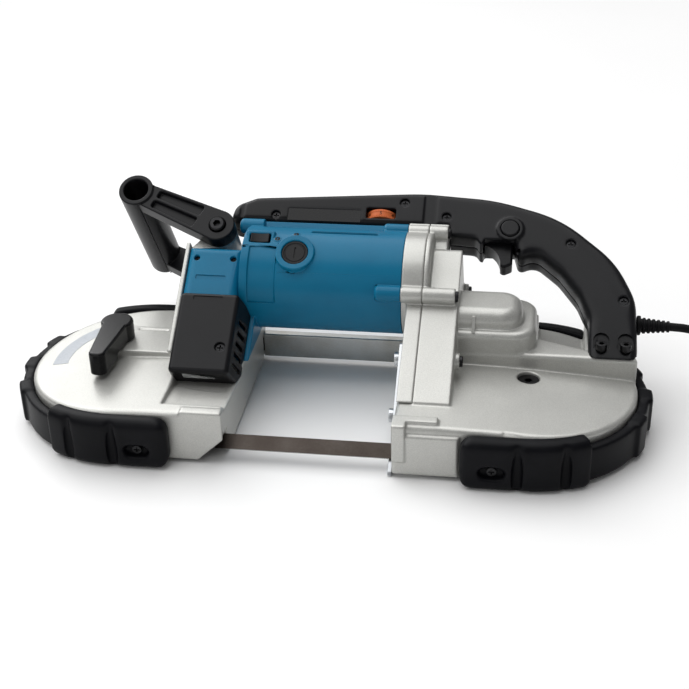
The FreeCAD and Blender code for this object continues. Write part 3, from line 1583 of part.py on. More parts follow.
def handle_rooms():
    """Everything that is cut through the handle halves, in leaned coordinates."""
    half = trigger_thickness / 2 + slip
    rooms = [
        box(trigger_left_x - slip, trigger_right_x + slip, trigger_slot_v - overrun, trigger_room_v,
            handle_parting_w - half, handle_parting_w + half),
        rod(lock_radius + slip, V(lock_x, lock_v, handle_parting_w + half), V(lock_x, lock_v, far)),
    ]
    half_window, half_width = dial_window / 2, dial_width / 2 + dial_window_gap
    rooms.append(box(dial_x - half_window, dial_x + half_window, dial_v - half_width, dial_v + half_width,
                     handle_front_w - 2 * handle_wall, far))
    rooms.append(box(label_left_x, label_right_x, saddle_v + label_low, saddle_v + label_high,
                     handle_front_w - label_sink, far))
    for left, right in ((band_left_x, band_right_x), (end_band_left_x, end_band_right_x)):
        rooms.append(box(left, right, 0, far, handle_front_w - band_sink, far))
    for x_share, v_share in handle_screw_shares:
        x, v = handle_point(x_share, v_share)
        head_seat = handle_front_w - handle_screw_sink
        rooms.append(rod(handle_screw_radius, V(x, v, handle_back_w + handle_wall), V(x, v, far)))
        rooms.append(rod(handle_screw_head_radius + slip, V(x, v, head_seat - handle_screw_sink),
                         V(x, v, far)))
    return rooms


def foot_screw_places():
    return [(foot_left_x + foot_screw_inset, foot_screw_y), (handle_right_x - foot_screw_inset, foot_screw_y)]


def foot_rooms():
    rooms = [below(platform_z + touch)]
    for x, y in foot_screw_places():
        rooms.append(rod_z(foot_screw_radius + slip, x, y, 0, far))
        notch = rod_z(foot_notch_radius, x, y, foot_screw_seat_z, far)
        mouth = box(x - foot_notch_radius, x + foot_notch_radius, -far, y, foot_screw_seat_z, far)
        reach = box(-far, far, -far, y + foot_notch_radius, -far, foot_notch_top_z)
        rooms.append(fuse(notch, mouth).common(reach))
    return rooms


def make_handle():
    ring = rod(lock_ring_radius, V(lock_x, lock_v, handle_front_w - handle_wall),
               V(lock_x, lock_v, handle_front_w + lock_ring_rise))
    front = fuse(handle_half(handle_parting_w + touch, handle_front_w, handle_front_w), ring)
    back = handle_half(handle_back_w, handle_parting_w, handle_back_w)
    relief_hole = rod_x(relief_radius, handle_right_x - 3 * handle_wall, handle_right_x + overrun, relief_v,
                        relief_w)
    for name, half in (("handle_front", front), ("handle_back", back)):
        add(name, cut(lean(cut(half, relief_hole, *handle_rooms())), *foot_rooms()))


def make_handle_screws():
    screws = []
    for x_share, v_share in handle_screw_shares:
        x, v = handle_point(x_share, v_share)
        seat = handle_front_w - 2 * handle_screw_sink
        head = rod(handle_screw_head_radius, V(x, v, seat), V(x, v, seat + handle_screw_sink))
        shank = rod(handle_screw_radius, V(x, v, handle_back_w + 2 * handle_wall), V(x, v, seat))
        screws.append(lean(fuse(head, shank)))
    add("cover_screws", *screws)


def make_foot_screws():
    screws = []
    for x, y in foot_screw_places():
        head = rod_z(foot_screw_head_radius, x, y, foot_screw_seat_z, foot_screw_seat_z + foot_screw_head)
        shank = rod_z(foot_screw_radius, x, y, platform_z - roof_wall, foot_screw_seat_z)
        screws.append(fuse(head, shank))
    add("cap_screws", *screws)


def make_trigger():
    half = trigger_thickness / 2
    tip_x = (trigger_left_x + trigger_right_x) / 2
    blade_profile = [
        (trigger_left_x, trigger_top_v, 0), (trigger_left_x, trigger_slot_v - overrun, half / 2),
        (tip_x + half / 2, trigger_tip_v, half / 2), (trigger_right_x, trigger_tip_v + half / 2, half / 4),
        (trigger_right_x, trigger_top_v, 0),
    ]
    solid = slab(blade_profile, handle_parting_w - half, handle_parting_w + half)
    solid = round_edges(solid, half / 4, lambda edge: edge.BoundBox.ZLength < touch
                        and edge.BoundBox.YMin < trigger_slot_v - overrun - touch)
    add("trigger", lean(solid))


def make_lock_button():
    top = handle_front_w + lock_rise
    button = rod(lock_radius, V(lock_x, lock_v, top - lock_depth), V(lock_x, lock_v, top))
    add("lock_button", lean(round_edges(button, lock_rise / 2,
                                        lambda edge: edge.BoundBox.ZMin > top - touch)))


def make_speed_dial():
    """Knurled thumb wheel of the speed control, turning about v behind its window."""
    axis_w = handle_front_w + dial_rise - dial_radius
    wheel = rod(dial_radius, V(dial_x, dial_v - dial_width / 2, axis_w),
                V(dial_x, dial_v + dial_width / 2, axis_w))
    low_v = saddle_v + handle_wall + 2 * slip
    pin = rod(dial_pin_radius, V(dial_x, low_v, axis_w), V(dial_x, dial_v + dial_width, axis_w))
    add("speed_dial", lean(fuse(wheel, pin)))


def make_switch():
    half = switch_thickness / 2
    add("trigger_switch", lean(box(switch_left_x, switch_left_x + switch_length, switch_low_v,
                                       switch_low_v + switch_height, handle_parting_w - half,
                                       handle_parting_w + half)))


def make_front_handle():
    """Cross tube on two arms, bolted to the ends of the left housing's boss."""
    reach = grip_half_length
    tube = rod(grip_radius, V(grip_x, grip_v, -reach), V(grip_x, grip_v, reach))
    arms, bores = [], [rod(grip_bore, V(grip_x, grip_v, -reach - overrun),
                           V(grip_x, grip_v, reach + overrun))]
    run = V(boss_x - grip_x, boss_v - grip_v, 0)
    across = V(-run.y, run.x, 0)
    across.normalize()
    start, end = V(grip_x, grip_v, 0), V(boss_x, boss_v, 0)
    low = boss_half_length + slip
    for side in (-1, 1):
        bottom = low if side > 0 else -low - grip_arm_thickness
        corners = [start + across * grip_arm_half, start - across * grip_arm_half,
                   end - across * grip_arm_radius, end + across * grip_arm_radius]
        bar = slab([(corner.x, corner.y, 0) for corner in corners], bottom, bottom + grip_arm_thickness)
        eye = rod(grip_arm_radius, V(boss_x, boss_v, bottom), V(boss_x, boss_v, bottom + grip_arm_thickness))
        arms += [bar, eye]
        face = side * (low + grip_arm_thickness)
        for sign in (-1, 1):
            bores.append(grip_pocket(start, end, across * sign, face, side))
        bores.append(rod(grip_bolt_radius + slip, V(boss_x, boss_v, side * low - side * overrun),
                         V(boss_x, boss_v, side * 2 * reach)))
        seat = side * (low + grip_arm_thickness - grip_bolt_seat)
        bores.append(rod(grip_bolt_head_radius + slip, V(boss_x, boss_v, seat),
                         V(boss_x, boss_v, side * 2 * reach)))
    add("front_handle", lean(cut(fuse(tube, *arms), *bores)))


def grip_pocket(start, end, across, face, side):
    """Long pocket beside the middle rib on the outer face of a front handle arm."""
    way = end - start
    length = way.Length
    way.normalize()
    slope = (grip_arm_radius - grip_arm_half) / length
    corners = []
    for along in (grip_pocket_start, length - grip_pocket_end):
        middle = start + way * along
        outer = grip_arm_half + slope * along - grip_pocket_wall
        corners.append((middle + across * (grip_pocket_rib / 2), middle + across * outer))
    order = [corners[0][0], corners[0][1], corners[1][1], corners[1][0]]
    low, high = sorted((face - side * grip_pocket_depth, face + side * overrun))
    return slab([(corner.x, corner.y, grip_pocket_round) for corner in order], low, high)


def make_front_handle_bolts():
    bolts = []
    low = boss_half_length + slip
    for side in (-1, 1):
        seat = side * (low + grip_arm_thickness - grip_bolt_seat)
        head = rod(grip_bolt_head_radius, V(boss_x, boss_v, seat),
                   V(boss_x, boss_v, seat + side * grip_bolt_head))
        shank = rod(grip_bolt_radius, V(boss_x, boss_v, seat - side * grip_bolt_shank),
                    V(boss_x, boss_v, seat))
        bolts.append(lean(fuse(head, shank)))
    add("socket_bolts", *bolts)


def make_stop_plate():
    """Flat work stop on the right throat wall, with two slots to slide along v."""
    right = throat_right - stop_gap
    plate = bar_x([
        (stop_low_v, stop_back_w, 0), (stop_top_v, stop_back_w, stop_corner),
        (stop_top_v, stop_front_w, stop_corner), (stop_low_v, stop_front_w, stop_corner),
    ], right - stop_thickness, right)
    slots = []
    for v in (stop_bolt_high_v, stop_bolt_low_v):
        ends = [rod_x(stop_slot_radius, right - 2 * stop_thickness, right + overrun,
                      v - stop_slot_length * share,
                      stop_bolt_w) for share in (0, 1)]
        middle = box(right - 2 * stop_thickness, right + overrun, v - stop_slot_length, v,
                     stop_bolt_w - stop_slot_radius, stop_bolt_w + stop_slot_radius)
        slots.append(fuse(*ends, middle))
    add("stop_plate", cut(lean(cut(plate, *slots)), below(stop_floor_z)))
    bolts = []
    face = right - stop_thickness - slip
    for v in (stop_bolt_high_v, stop_bolt_low_v):
        head = rod_x(stop_bolt_head_radius, face - stop_bolt_head, face, v, stop_bolt_w)
        shank = rod_x(stop_bolt_radius, face, throat_right + housing_wall, v, stop_bolt_w)
        bolts.append(lean(fuse(head, shank)))
    add("socket_bolts", *bolts)


def make_return_guard():
    """Folded steel channel over the blade's return span, between the two housings."""
    left, right = throat_left + rail_gap, throat_right - rail_gap
    front, back = blade_path_radius - rail_depth / 2, blade_path_radius + rail_depth / 2
    outer = box(left, right, front, back, rail_low_z, rail_top_z)
    outer = round_edges(outer, rail_sheet, lambda edge: edge.BoundBox.ZMin > rail_top_z - touch
                        and edge.BoundBox.XLength > throat_right)
    room = box(left - overrun, right + overrun, front + rail_sheet, back - rail_sheet,
               rail_low_z - overrun, rail_top_z - rail_sheet)
    add("return_guard", cut(outer, room))


def blade_section(x, y, twist):
    half_thickness, half_width = blade_thickness / 2, blade_width / 2
    corners = [V(x, y + a * half_thickness, blade_middle_z + b * half_width)
               for a, b in ((-1, -1), (1, -1), (1, 1), (-1, 1))]
    wire = Part.makePolygon(corners + corners[:1])
    wire.rotate(V(x, y, blade_middle_z), AXIS_X, twist)
    return wire


def twisted_section(x, share):
    """Blade section part of the way from the wheel to the guide, turned gently at both ends."""
    eased = ease(share)
    y = -blade_path_radius + eased * (cut_span_y + blade_path_radius)
    return blade_section(x, y, eased * (tilt - half_turn / 2))


def make_blade():
    """Endless blade: two half turns, straight return span, twisted cutting span."""
    low, high = blade_middle_z - blade_width / 2, blade_middle_z + blade_width / 2
    outer, inner = blade_path_radius + blade_thickness / 2, blade_path_radius - blade_thickness / 2
    pieces = []
    for side in (-1, 1):
        loop = ring_z(outer, inner, side * wheel_x, 0, low, high)
        keep = box(min(side * wheel_x, side * far), max(side * wheel_x, side * far), -far, far, low, high)
        pieces.append(loop.common(keep))
    pieces.append(box(-wheel_x, wheel_x, inner, outer, low, high))
    start_x = wheel_x - twist_start
    sections = [twisted_section(-wheel_x, 0)]
    for step in range(twist_steps + 1):
        x = -start_x + step / twist_steps * (twist_left_x + start_x)
        sections.append(twisted_section(x, step / twist_steps))
    for step in range(twist_steps + 1):
        share = 1 - step / twist_steps
        x = start_x - share * (start_x - twist_right_x)
        sections.append(twisted_section(x, share))
    sections.append(twisted_section(wheel_x, 0))
    pieces.append(Part.makeLoft(sections, True, True))
    add("blade", pieces[0].fuse(pieces[1:]))


def make_guide(name, side, x, wall_x):
    """Bracket on the throat wall with a back-up pad and two face rollers for the blade."""
    face_offset = roller_radius + blade_thickness / 2 + roller_gap
    near, away = sorted((wall_x, x + side * guide_bracket_reach))
    block = box(near, away, blade_v + guide_bracket_start, blade_v + guide_bracket_end,
                blade_w - guide_half_width, blade_w + guide_half_width)
    pad_near, pad_away = sorted((x - side * guide_pad_half, x + side * guide_pad_half))
    pad = box(pad_near, pad_away, blade_v + blade_width / 2 + slip, blade_v + guide_bracket_start,
              blade_w - guide_pad_half / 2, blade_w + guide_pad_half / 2)
    pin_low = blade_v - roller_width / 2
    pins = [rod(roller_bore - running_fit, V(x, pin_low, blade_w + sign * face_offset),
                V(x, blade_v + guide_bracket_start, blade_w + sign * face_offset)) for sign in (-1, 1)]
    add(name + "_guide", lean(fuse(block, pad, *pins)))
    for label, sign in (("inner", -1), ("outer", 1)):
        w = blade_w + sign * face_offset
        body = rod(roller_radius, V(x, pin_low, w), V(x, pin_low + roller_width, w))
        bore = rod(roller_bore, V(x, pin_low - overrun, w), V(x, pin_low + roller_width + overrun, w))
        add(name + "_" + label + "_roller", lean(cut(body, bore)))


def wrap_solid(side, inner, outer, low, high, throat_x):
    """Band that follows the outline of a housing between two offsets."""
    outside = pan_face(side, outer, throat_x)
    outside.translate(V(0, 0, low))
    inside = pan_face(side, inner, throat_x - side * overrun)
    inside.translate(V(0, 0, low - overrun))
    return cut(outside.extrude(V(0, 0, high - low)), inside.extrude(V(0, 0, high - low + 2 * overrun)))


def off_outline(side, point):
    """Distance of a point from the centre line of a housing's outline."""
    run = side * point.x - wheel_x
    return abs(point.y) if run < 0 else math.hypot(run, point.y)


def bumper_pad(side, reach, toward):
    """Thick pad on the front or the back of a bumper."""
    inner = rim_radius + bumper_gap
    start = side * (wheel_x - bumper_wrap)
    pad = wrap_solid(side, inner, bumper_radius, 0, bumper_pad_high_z, start)
    end = side * (wheel_x + reach)
    left, right = sorted((start, end))
    low, high = sorted((0, toward * far))
    pad = pad.common(box(left, right, low, high, -far, far))
    middle = (inner + bumper_radius) / 2
    return round_edges(pad, bumper_round, lambda edge: off_outline(side, edge.CenterOfMass) > middle)


def make_bumper(name, side):
    inner = rim_radius + bumper_gap
    start = side * (wheel_x - bumper_wrap)
    solids = [wrap_solid(side, inner, bumper_strip_radius, bumper_strip_low_z, bumper_strip_high_z, start)]
    solids.append(bumper_pad(side, bumper_front_pad_reach, -1))
    solids.append(bumper_pad(side, bumper_back_pad_reach, 1))
    for angle in bumper_lug_angles:
        ring = ring_z(bumper_lug_radius, inner, side * wheel_x, 0, bumper_strip_low_z, bumper_lug_high_z)
        chord = bumper_lug_radius * math.sin(math.radians(bumper_lug_half_angle))
        beam = box(0, 2 * bumper_radius, -chord, chord, -far, far)
        beam.rotate(ORIGIN, AXIS_Z, angle if side > 0 else half_turn - angle)
        beam.translate(V(side * wheel_x, 0, 0))
        solids.append(ring.common(beam))
    solid = fuse(*solids)
    flutes = []
    for angle in bumper_flute_angles:
        turn = math.radians(angle)
        x = side * wheel_x + side * bumper_radius * math.cos(turn)
        flutes.append(rod_z(bumper_flute_radius, x, bumper_radius * math.sin(turn), -overrun, far))
    slot_x = side * (wheel_x - bumper_slot_offset)
    add(name, cut(solid, bumper_slot(slot_x, bumper_radius - bumper_slot_depth), *flutes))


def bumper_slot(x, depth_y):
    half_height = bumper_slot_height / 2
    run = bumper_slot_length / 2 - half_height
    ends = [rod(half_height, V(x + sign * run, -far, bumper_slot_z),
                V(x + sign * run, -depth_y, bumper_slot_z))
            for sign in (-1, 1)]
    middle = box(x - run, x + run, -far, -depth_y, bumper_slot_z - half_height, bumper_slot_z + half_height)
    return fuse(*ends, middle)


def make_bumper_screws():
    screws = []
    seat = -bumper_radius + bumper_slot_depth
    for side in (-1, 1):
        x = side * (wheel_x - bumper_slot_offset)
        head, foot = V(x, seat - bumper_screw_head, bumper_slot_z), V(x, seat, bumper_slot_z)
        screws.append(rod(bumper_screw_radius, head, foot))
    add("cover_screws", *screws)


def biarc(start, start_way, end, end_way):
    """Two arcs that join two points with their directions, meeting smoothly."""
    gap = end - start
    both = start_way + end_way
    straight = 2 * (1 - start_way.dot(end_way))
    along = gap.dot(both)
    reach = (math.sqrt(along * along + straight * gap.dot(gap)) - along) / straight
    joint = (start + start_way * reach + end - end_way * reach) * 0.5
    return [arc_from(start, start_way, joint), arc_to(joint, end, end_way)]


def arc_from(start, way, end):
    """Arc that leaves the start in the given direction."""
    chord = end - start
    half = way.getAngle(chord)
    side = way - chord * (way.dot(chord) / chord.dot(chord))
    side.normalize()
    top = start + chord * 0.5 + side * (chord.Length / 2 * math.tan(half / 2))
    return Part.Arc(start, top, end).toShape()


def arc_to(start, end, way):
    flipped = arc_from(end, way * -1, start)
    middle = flipped.valueAt((flipped.FirstParameter + flipped.LastParameter) / 2)
    return Part.Arc(start, middle, end).toShape()


def ease(share):
    return share * share * (3 - 2 * share)


def coil_state(turns):
    """Radius and height of the coil's centre line after so many turns from its top end."""
    layer_turns = coil_spiral_turns + climb_turns
    layer = min(int(turns / layer_turns), coil_layers - 1)
    rest = turns - layer * layer_turns
    spiral = min(rest, coil_spiral_turns)
    climb = max(rest - coil_spiral_turns, 0) / climb_turns
    wide = coil_inner_radius_mid + coil_turn_step * coil_spiral_turns
    inward = layer % 2 == 0
    radius = wide - coil_turn_step * spiral if inward else coil_inner_radius_mid + coil_turn_step * spiral
    height = coil_top_z - coil_layer_step * (layer + ease(climb))
    return radius, height


def coil_point(turns):
    radius, height = coil_state(turns)
    angle = math.radians(coil_start_angle - full_turn * turns)
    return V(coil_x + radius * math.cos(angle), coil_y + radius * math.sin(angle), height)


def coil_way(turns):
    little = 1 / full_turn
    before, after = max(turns - little, 0), min(turns + little, coil_turns)
    way = coil_point(after) - coil_point(before)
    way.normalize()
    return way


def least_coil_gap():
    """Least clear distance between different turns of the coil, measured on points."""
    count = int(coil_turns * gap_steps)
    points = [coil_point(index / gap_steps) for index in range(count + 1)]
    least = far
    for index, point in enumerate(points):
        for other in points[index + gap_steps // 2:]:
            least = min(least, point.distanceToPoint(other))
    return least - cord_diameter


def tube(edges, start, way):
    path = Part.Wire(edges)
    profile = Part.Wire([Part.makeCircle(cord_diameter / 2, start, way)])
    return path.makePipeShell([profile], True, False)


def make_cord_coil():
    """Put-away length of the cord as one wound tube, ending in a straight tail at the plug."""
    edges = []
    steps = int(coil_turns * coil_points_per_turn)
    ways = [coil_way(index / coil_points_per_turn) for index in range(steps + 1)]
    ways[0] = AXIS_X
    ways[-1] = V(ways[-1].x, ways[-1].y, 0)
    ways[-1].normalize()
    for index in range(steps):
        start, end = coil_point(index / coil_points_per_turn), coil_point((index + 1) / coil_points_per_turn)
        edges += biarc(start, ways[index], end, ways[index + 1])
    tail = coil_point(coil_turns)
    tail_end = tail + ways[-1] * plug_tail
    edges.append(line(tail, tail_end))
    lead = coil_point(0) - ways[0] * cord_diameter
    edges.insert(0, line(lead, coil_point(0)))
    add("cord_coil", tube(edges, lead, ways[0]))
    length = sum(edge.Length for edge in edges)
    print("coil length", round(length), "least gap", round(least_coil_gap(), 2))
    return tail_end, ways[-1]


def smooth_route(points):
    """Straight runs joined by arcs as large as the runs allow, with the radii printed."""
    edges, radii = [], []
    here = points[0]
    for index in range(1, len(points) - 1):
        corner = points[index]
        before, after = points[index - 1] - corner, points[index + 1] - corner
        cut_back = route_corner_share * min(before.Length, after.Length)
        before.normalize()
        after.normalize()
        half = before.getAngle(after) / 2
        radius = cut_back * math.tan(half)
        radii.append(round(radius))
        start, end = corner + before * cut_back, corner + after * cut_back
        middle = before + after
        middle.normalize()
        top = corner + middle * (radius / math.sin(half) - radius)
        edges += [line(here, start), Part.Arc(start, top, end).toShape()]
        here = end
    edges.append(line(here, points[-1]))
    print("cord bend radii", radii)
    return edges


def make_cord():
    """Free stretch of the cord from the strain relief to the top of the coil."""
    exit_point = lean_point(handle_right_x + relief_length, relief_v, relief_w)
    first = coil_point(0) - V(cord_diameter, 0, 0)
    points = [exit_point] + [V(*place) for place in cord_route] + [first]
    edges = smooth_route(points)
    way = points[1] - points[0]
    add("cord", tube(edges, exit_point, way))
    length = sum(edge.Length for edge in edges)
    section = math.pi * cord_diameter ** 2 / 4
    print("cord length", round(length), "volume share",
          round(nodes["cord"][0].Volume / (section * length), 3))


def make_strain_relief():
    """Tapered rubber sleeve held by the two handle halves."""
    profile = [
        (0, -2 * handle_wall), (relief_radius - running_fit, -2 * handle_wall),
        (relief_radius - running_fit, touch),
        (relief_radius + relief_collar / 2, touch), (relief_radius + relief_collar / 2, relief_collar),
        (relief_radius, relief_collar), (relief_neck_radius, relief_length), (0, relief_length),
    ]
    sleeve = revolved(profile)
    sleeve.rotate(ORIGIN, AXIS_Y, half_turn / 2)
    sleeve.translate(lean_point(handle_right_x, relief_v, relief_w))
    add("strain_relief", sleeve)


def make_cord_tie():
    """Strap round the coil's bundle, lying under it on the bench."""
    inner = coil_inner_radius_mid - cord_diameter / 2 - tie_room
    outer = coil_inner_radius_mid + coil_turn_step * coil_spiral_turns + cord_diameter / 2 + tie_room
    low = coil_low_z - cord_diameter / 2 - tie_room
    high = coil_top_z + cord_diameter / 2 + tie_room
    half = tie_width / 2
    corner = cord_diameter / 2
    corners = [(inner - tie_thickness, low - tie_thickness), (outer + tie_thickness, low - tie_thickness),
               (outer + tie_thickness, high + tie_thickness), (inner - tie_thickness, high + tie_thickness)]
    strap = bar_y([(r, z, corner) for r, z in corners], -half, half)
    hole = bar_y([(inner, low, corner - tie_thickness), (outer, low, corner - tie_thickness),
                  (outer, high, corner - tie_thickness), (inner, high, corner - tie_thickness)],
                 -half - overrun, half + overrun)
    strap = cut(strap, hole)
    strap.rotate(ORIGIN, AXIS_Z, tie_angle)
    strap.translate(V(coil_x, coil_y, 0))
    add("cord_tie", strap)


def make_plug(place, way):
    """Moulded two-pin mains plug, lying flat beside the coil."""
    neck = Part.makeCone(cord_diameter / 2 + tie_thickness, plug_neck_radius, plug_neck_length, V(0, 0, 0),
                         AXIS_X)
    body = box(plug_neck_length, plug_neck_length + plug_length, -plug_width / 2, plug_width / 2,
               -coil_low_z, plug_height - coil_low_z)
    face = plug_neck_length + plug_length
    body = round_edges(body, plug_round, lambda edge: edge.BoundBox.XMin < face - touch)
    pins = [rod_x(plug_pin_radius, face - overrun, face + plug_pin_length, sign * plug_pin_spacing / 2,
                  plug_height / 2 - coil_low_z)
            for sign in (-1, 1)]
    angle = math.degrees(math.atan2(way.y, way.x))
    for shape in [cut(fuse(body, neck), *pins)] + pins:
        shape.rotate(ORIGIN, AXIS_Z, angle)
        shape.translate(place)
        add("plug", shape)


make_left_frame()
make_right_frame()
make_gear_cover()
make_gear_case_screws()
make_wheel("drive_wheel", 1, drive_hub_high, drive_web_low)
make_wheel("idler_wheel", -1, idler_hub_high, drive_web_low)
make_tyre("drive_tyre", 1)
make_tyre("idler_tyre", -1)
make_wheel_bearings("gear_train_bearings", 1, drive_hub_high)
make_wheel_bearings("idler_axle", -1, idler_hub_high)
make_drive_axle()
make_wheel_gear()
make_upright_shaft()
make_upright_bearings()
make_bearing_carrier()
make_second_shaft()
make_second_bearings()
make_armature()
make_fan()
make_stator()
make_motor_bearings()
make_brush_gear()
make_motor_housing()
make_lamp_switch()
make_controller_case()
make_controller_screws()
make_speed_controller()
make_lamp_box()
make_tension_lever()
make_idler_carriage()
make_handle()
make_handle_screws()
make_foot_screws()
make_trigger()
make_lock_button()
make_speed_dial()
make_switch()
make_front_handle()
make_front_handle_bolts()
make_stop_plate()
make_return_guard()
make_blade()
make_guide("left", -1, guide_left_x, throat_left - housing_wall)
make_guide("right", 1, guide_right_x, throat_right + housing_wall)
make_bumper("left_bumper", -1)
make_bumper("right_bumper", 1)
make_bumper_screws()
make_strain_relief()
plug_place, plug_way = make_cord_coil()
make_cord()
make_cord_tie()
make_plug(plug_place, plug_way)


def origin_shift():
    """Move that puts the origin under the middle of the saw, cord and plug left out."""
    corners = [solid.optimalBoundingBox() for name, solids in nodes.items()
               if name not in cord_nodes for solid in solids]
    middle_x = (min(box.XMin for box in corners) + max(box.XMax for box in corners)) / 2
    middle_y = (min(box.YMin for box in corners) + max(box.YMax for box in corners)) / 2
    return V(-middle_x, -middle_y, -min(box.ZMin for box in corners))


shift = origin_shift()
print("shift", shift)
os.makedirs("parts", exist_ok=True)
for name, solids in nodes.items():
    for solid in solids:
        solid.translate(shift)
    shape = solids[0] if len(solids) == 1 else Part.makeCompound(solids)
    print(name, "valid", shape.isValid(), "solids", len(solids), "cm3", round(shape.Volume / 1000, 1))
    shape.exportStep("parts/" + name + ".step")
print("nodes", len(nodes))
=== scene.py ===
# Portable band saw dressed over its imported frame.
# Lengths are metres and angles degrees. Leaned places (x, v, w) follow the tilt of motor and handle.
import json
import math

import bmesh
import bpy
from mathutils import Matrix, Vector
from mathutils.bvhtree import BVHTree

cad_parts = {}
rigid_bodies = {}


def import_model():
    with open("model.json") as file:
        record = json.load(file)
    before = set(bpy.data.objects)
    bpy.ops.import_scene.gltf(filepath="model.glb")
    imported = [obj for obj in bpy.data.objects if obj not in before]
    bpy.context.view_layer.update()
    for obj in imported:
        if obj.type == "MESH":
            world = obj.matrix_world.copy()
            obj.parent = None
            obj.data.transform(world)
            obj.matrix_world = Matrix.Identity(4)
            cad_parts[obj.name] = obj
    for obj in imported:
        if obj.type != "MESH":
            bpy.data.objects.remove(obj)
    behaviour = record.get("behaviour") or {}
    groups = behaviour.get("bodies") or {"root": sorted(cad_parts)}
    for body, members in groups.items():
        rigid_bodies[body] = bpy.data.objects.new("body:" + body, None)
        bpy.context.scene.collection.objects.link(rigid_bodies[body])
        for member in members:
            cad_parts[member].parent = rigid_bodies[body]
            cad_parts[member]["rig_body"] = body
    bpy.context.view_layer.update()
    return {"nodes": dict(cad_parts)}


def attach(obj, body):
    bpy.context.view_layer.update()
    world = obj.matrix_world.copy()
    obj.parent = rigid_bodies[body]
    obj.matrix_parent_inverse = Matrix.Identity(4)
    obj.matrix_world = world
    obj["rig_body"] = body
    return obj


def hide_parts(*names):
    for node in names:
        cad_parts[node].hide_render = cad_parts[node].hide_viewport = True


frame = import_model()

# Frame of the saw, as in the solids
tilt = 35.0
origin_y = -0.043149
wheel_x = 0.15933
motor_v = 0.1067
motor_w = 0.0302
motor_radius = 0.0423
blade_path_radius = 0.08
blade_width = 0.013
blade_thickness = 0.0005
blade_middle_z = 0.015
cut_span_y = -0.075
twist_left_x = -0.086
twist_right_x = 0.08
twist_start = 0.012
tooth_pitch = 0.0018
tooth_depth = 0.0009
tooth_tip_share = 0.7

# Screw heads: place of the top, and the radius where it differs
cross_heads = (
    (-0.1171, 0.106, 0.057, 0.0025), (-0.0863, 0.106, 0.057, 0.0025), (-0.084, 0.022, 0.065, 0.004),
    (-0.061, 0.1632, 0.037, 0.0036), (0.0487, 0.1794, 0.037, 0.0036), (0.085, 0.167, 0.037, 0.0036),
    (0.1888, 0.1455, 0.037, 0.0036), (0.2323, 0.0946, 0.037, 0.0036))
bumper_head = (0.13533, -0.09566, 0.016)
bumper_head_radius = 0.0036
case_heads = (
    (0.088, 0.1465, 0.0455), (0.099, 0.0785, 0.063), (0.1055, 0.028, 0.05), (0.1055, 0.1245, -0.013))
foot_heads = ((0.215, 0.019, 0.066), (0.234, 0.019, 0.066))
case_head_radius = 0.0044
grip_heads = ((-0.105, 0.139, 0.0573), (-0.105, 0.139, -0.0573))
grip_head_radius = 0.0065
stop_heads = ((0.0526, 0.033, 0.038), (0.0526, -0.016, 0.038))
stop_head_radius = 0.0055
axle_head_z = 0.04
axle_head_radius = 0.006
axle_round = 0.0003
head_round = 0.0007
cross_arm_share = 0.62
cross_half_share = 0.15
cross_depth_share = 0.5
socket_share = 0.52
socket_depth_share = 0.55
socket_sides = 6
proud_case_rise = 0.0022
proud_grip_rise = 0.004
proud_edge_share = 0.25

# Speed dial
dial_place = (0.029, 0.168, 0.0258)
dial_radius = 0.014
dial_width = 0.0075
dial_pin_radius = 0.0016
dial_pin_reach = 0.0075
dial_knurl = 0.0004
dial_knurls = 60
knurl_corners = 4
dial_band_share = 0.28
dial_step = 45.0
dial_shown = 5
dial_numbers = 6
number_size = 0.0046
number_rise = 0.00012

# Rounding of the skins; a row of edge_rounds is a node, its look and how wide its edges are rounded
weld_gap = 0.000004
flat_angle = 0.6
edge_angle = 28.0
edge_segments = 3
housing_edge = 0.0009
trigger_edge = 0.0008
edge_rounds = (
    ("controller_case", "teal", housing_edge), ("front_handle", "black_plastic", 0.0012),
    ("lock_button", "black_plastic", 0.0006), ("tension_lever", "gloss_black", 0.0008),
    ("lamp_switch", "black_plastic", 0.0004), ("stop_plate", "zinc", 0.0004),
    ("return_guard", "guard_steel", 0.0003), ("left_guide", "steel", 0.0003),
    ("right_guide", "steel", 0.0003), ("drive_wheel", "wheel_metal", 0.0006),
    ("idler_wheel", "wheel_metal", 0.0006))
casting_voxel = 0.0008
casting_passes = 5
casting_keep_share = 0.3
rubber_voxel = 0.0011
rubber_passes = 30
rubber_keep_share = 0.4
smooth_share = 0.5
handle_voxel = 0.0009
handle_passes = 60
handle_light_passes = 3
handle_keep_share = 0.3
handle_parting_w = 0.022
handle_flat_x = 0.075
handle_round_x = 0.1
handle_foot_v = 0.066
handle_foot_fade = 0.012
handle_hold_fade = 0.007
handle_parting_hold = 0.002
handle_spots = (
    (0.085, 0.167, 0.007), (0.1888, 0.1455, 0.007), (0.2323, 0.0946, 0.007), (0.1384, 0.157, 0.014),
    (0.146, 0.1377, 0.004))

# Bumper pads and flutes, dome rib, motor vent, trigger and the pockets in the handle's foot
bumper_radius = 0.09966
bumper_strip_radius = 0.0945
bumper_inner_radius = 0.084
bumper_clear_radius = 0.13
bumper_strip_low_z = 0.003
bumper_strip_high_z = 0.032
bumper_pad_high_z = 0.0425
bumper_wrap = 0.0485
pad_end_angles = (-60.5, -39.0)
pad_end_steps = 8
pad_top_round = 0.011
pad_low_round = 0.012
pad_clear = 0.005
flute_angles = (-72.0, -93.0)
flute_middle_z = 0.016
flute_half_height = 0.0205
flute_half_width = 0.0045
flute_steps = 14
dome_rib = ((0.0145, 0.072), (0.0215, 0.072), (0.0225, 0.0835), (0.0205, 0.0835))
dome_rib_x = (0.1128, 0.1153)
vent_x = 0.0045
vent_angle = 36.9
vent_size = (0.055, 0.0022)
vent_depth = 0.009
trigger_start = (0.118, 0.14803)
trigger_tip = (0.13375, 0.12603)
trigger_w = 0.022
trigger_half = 0.012
finger_radius = 0.018
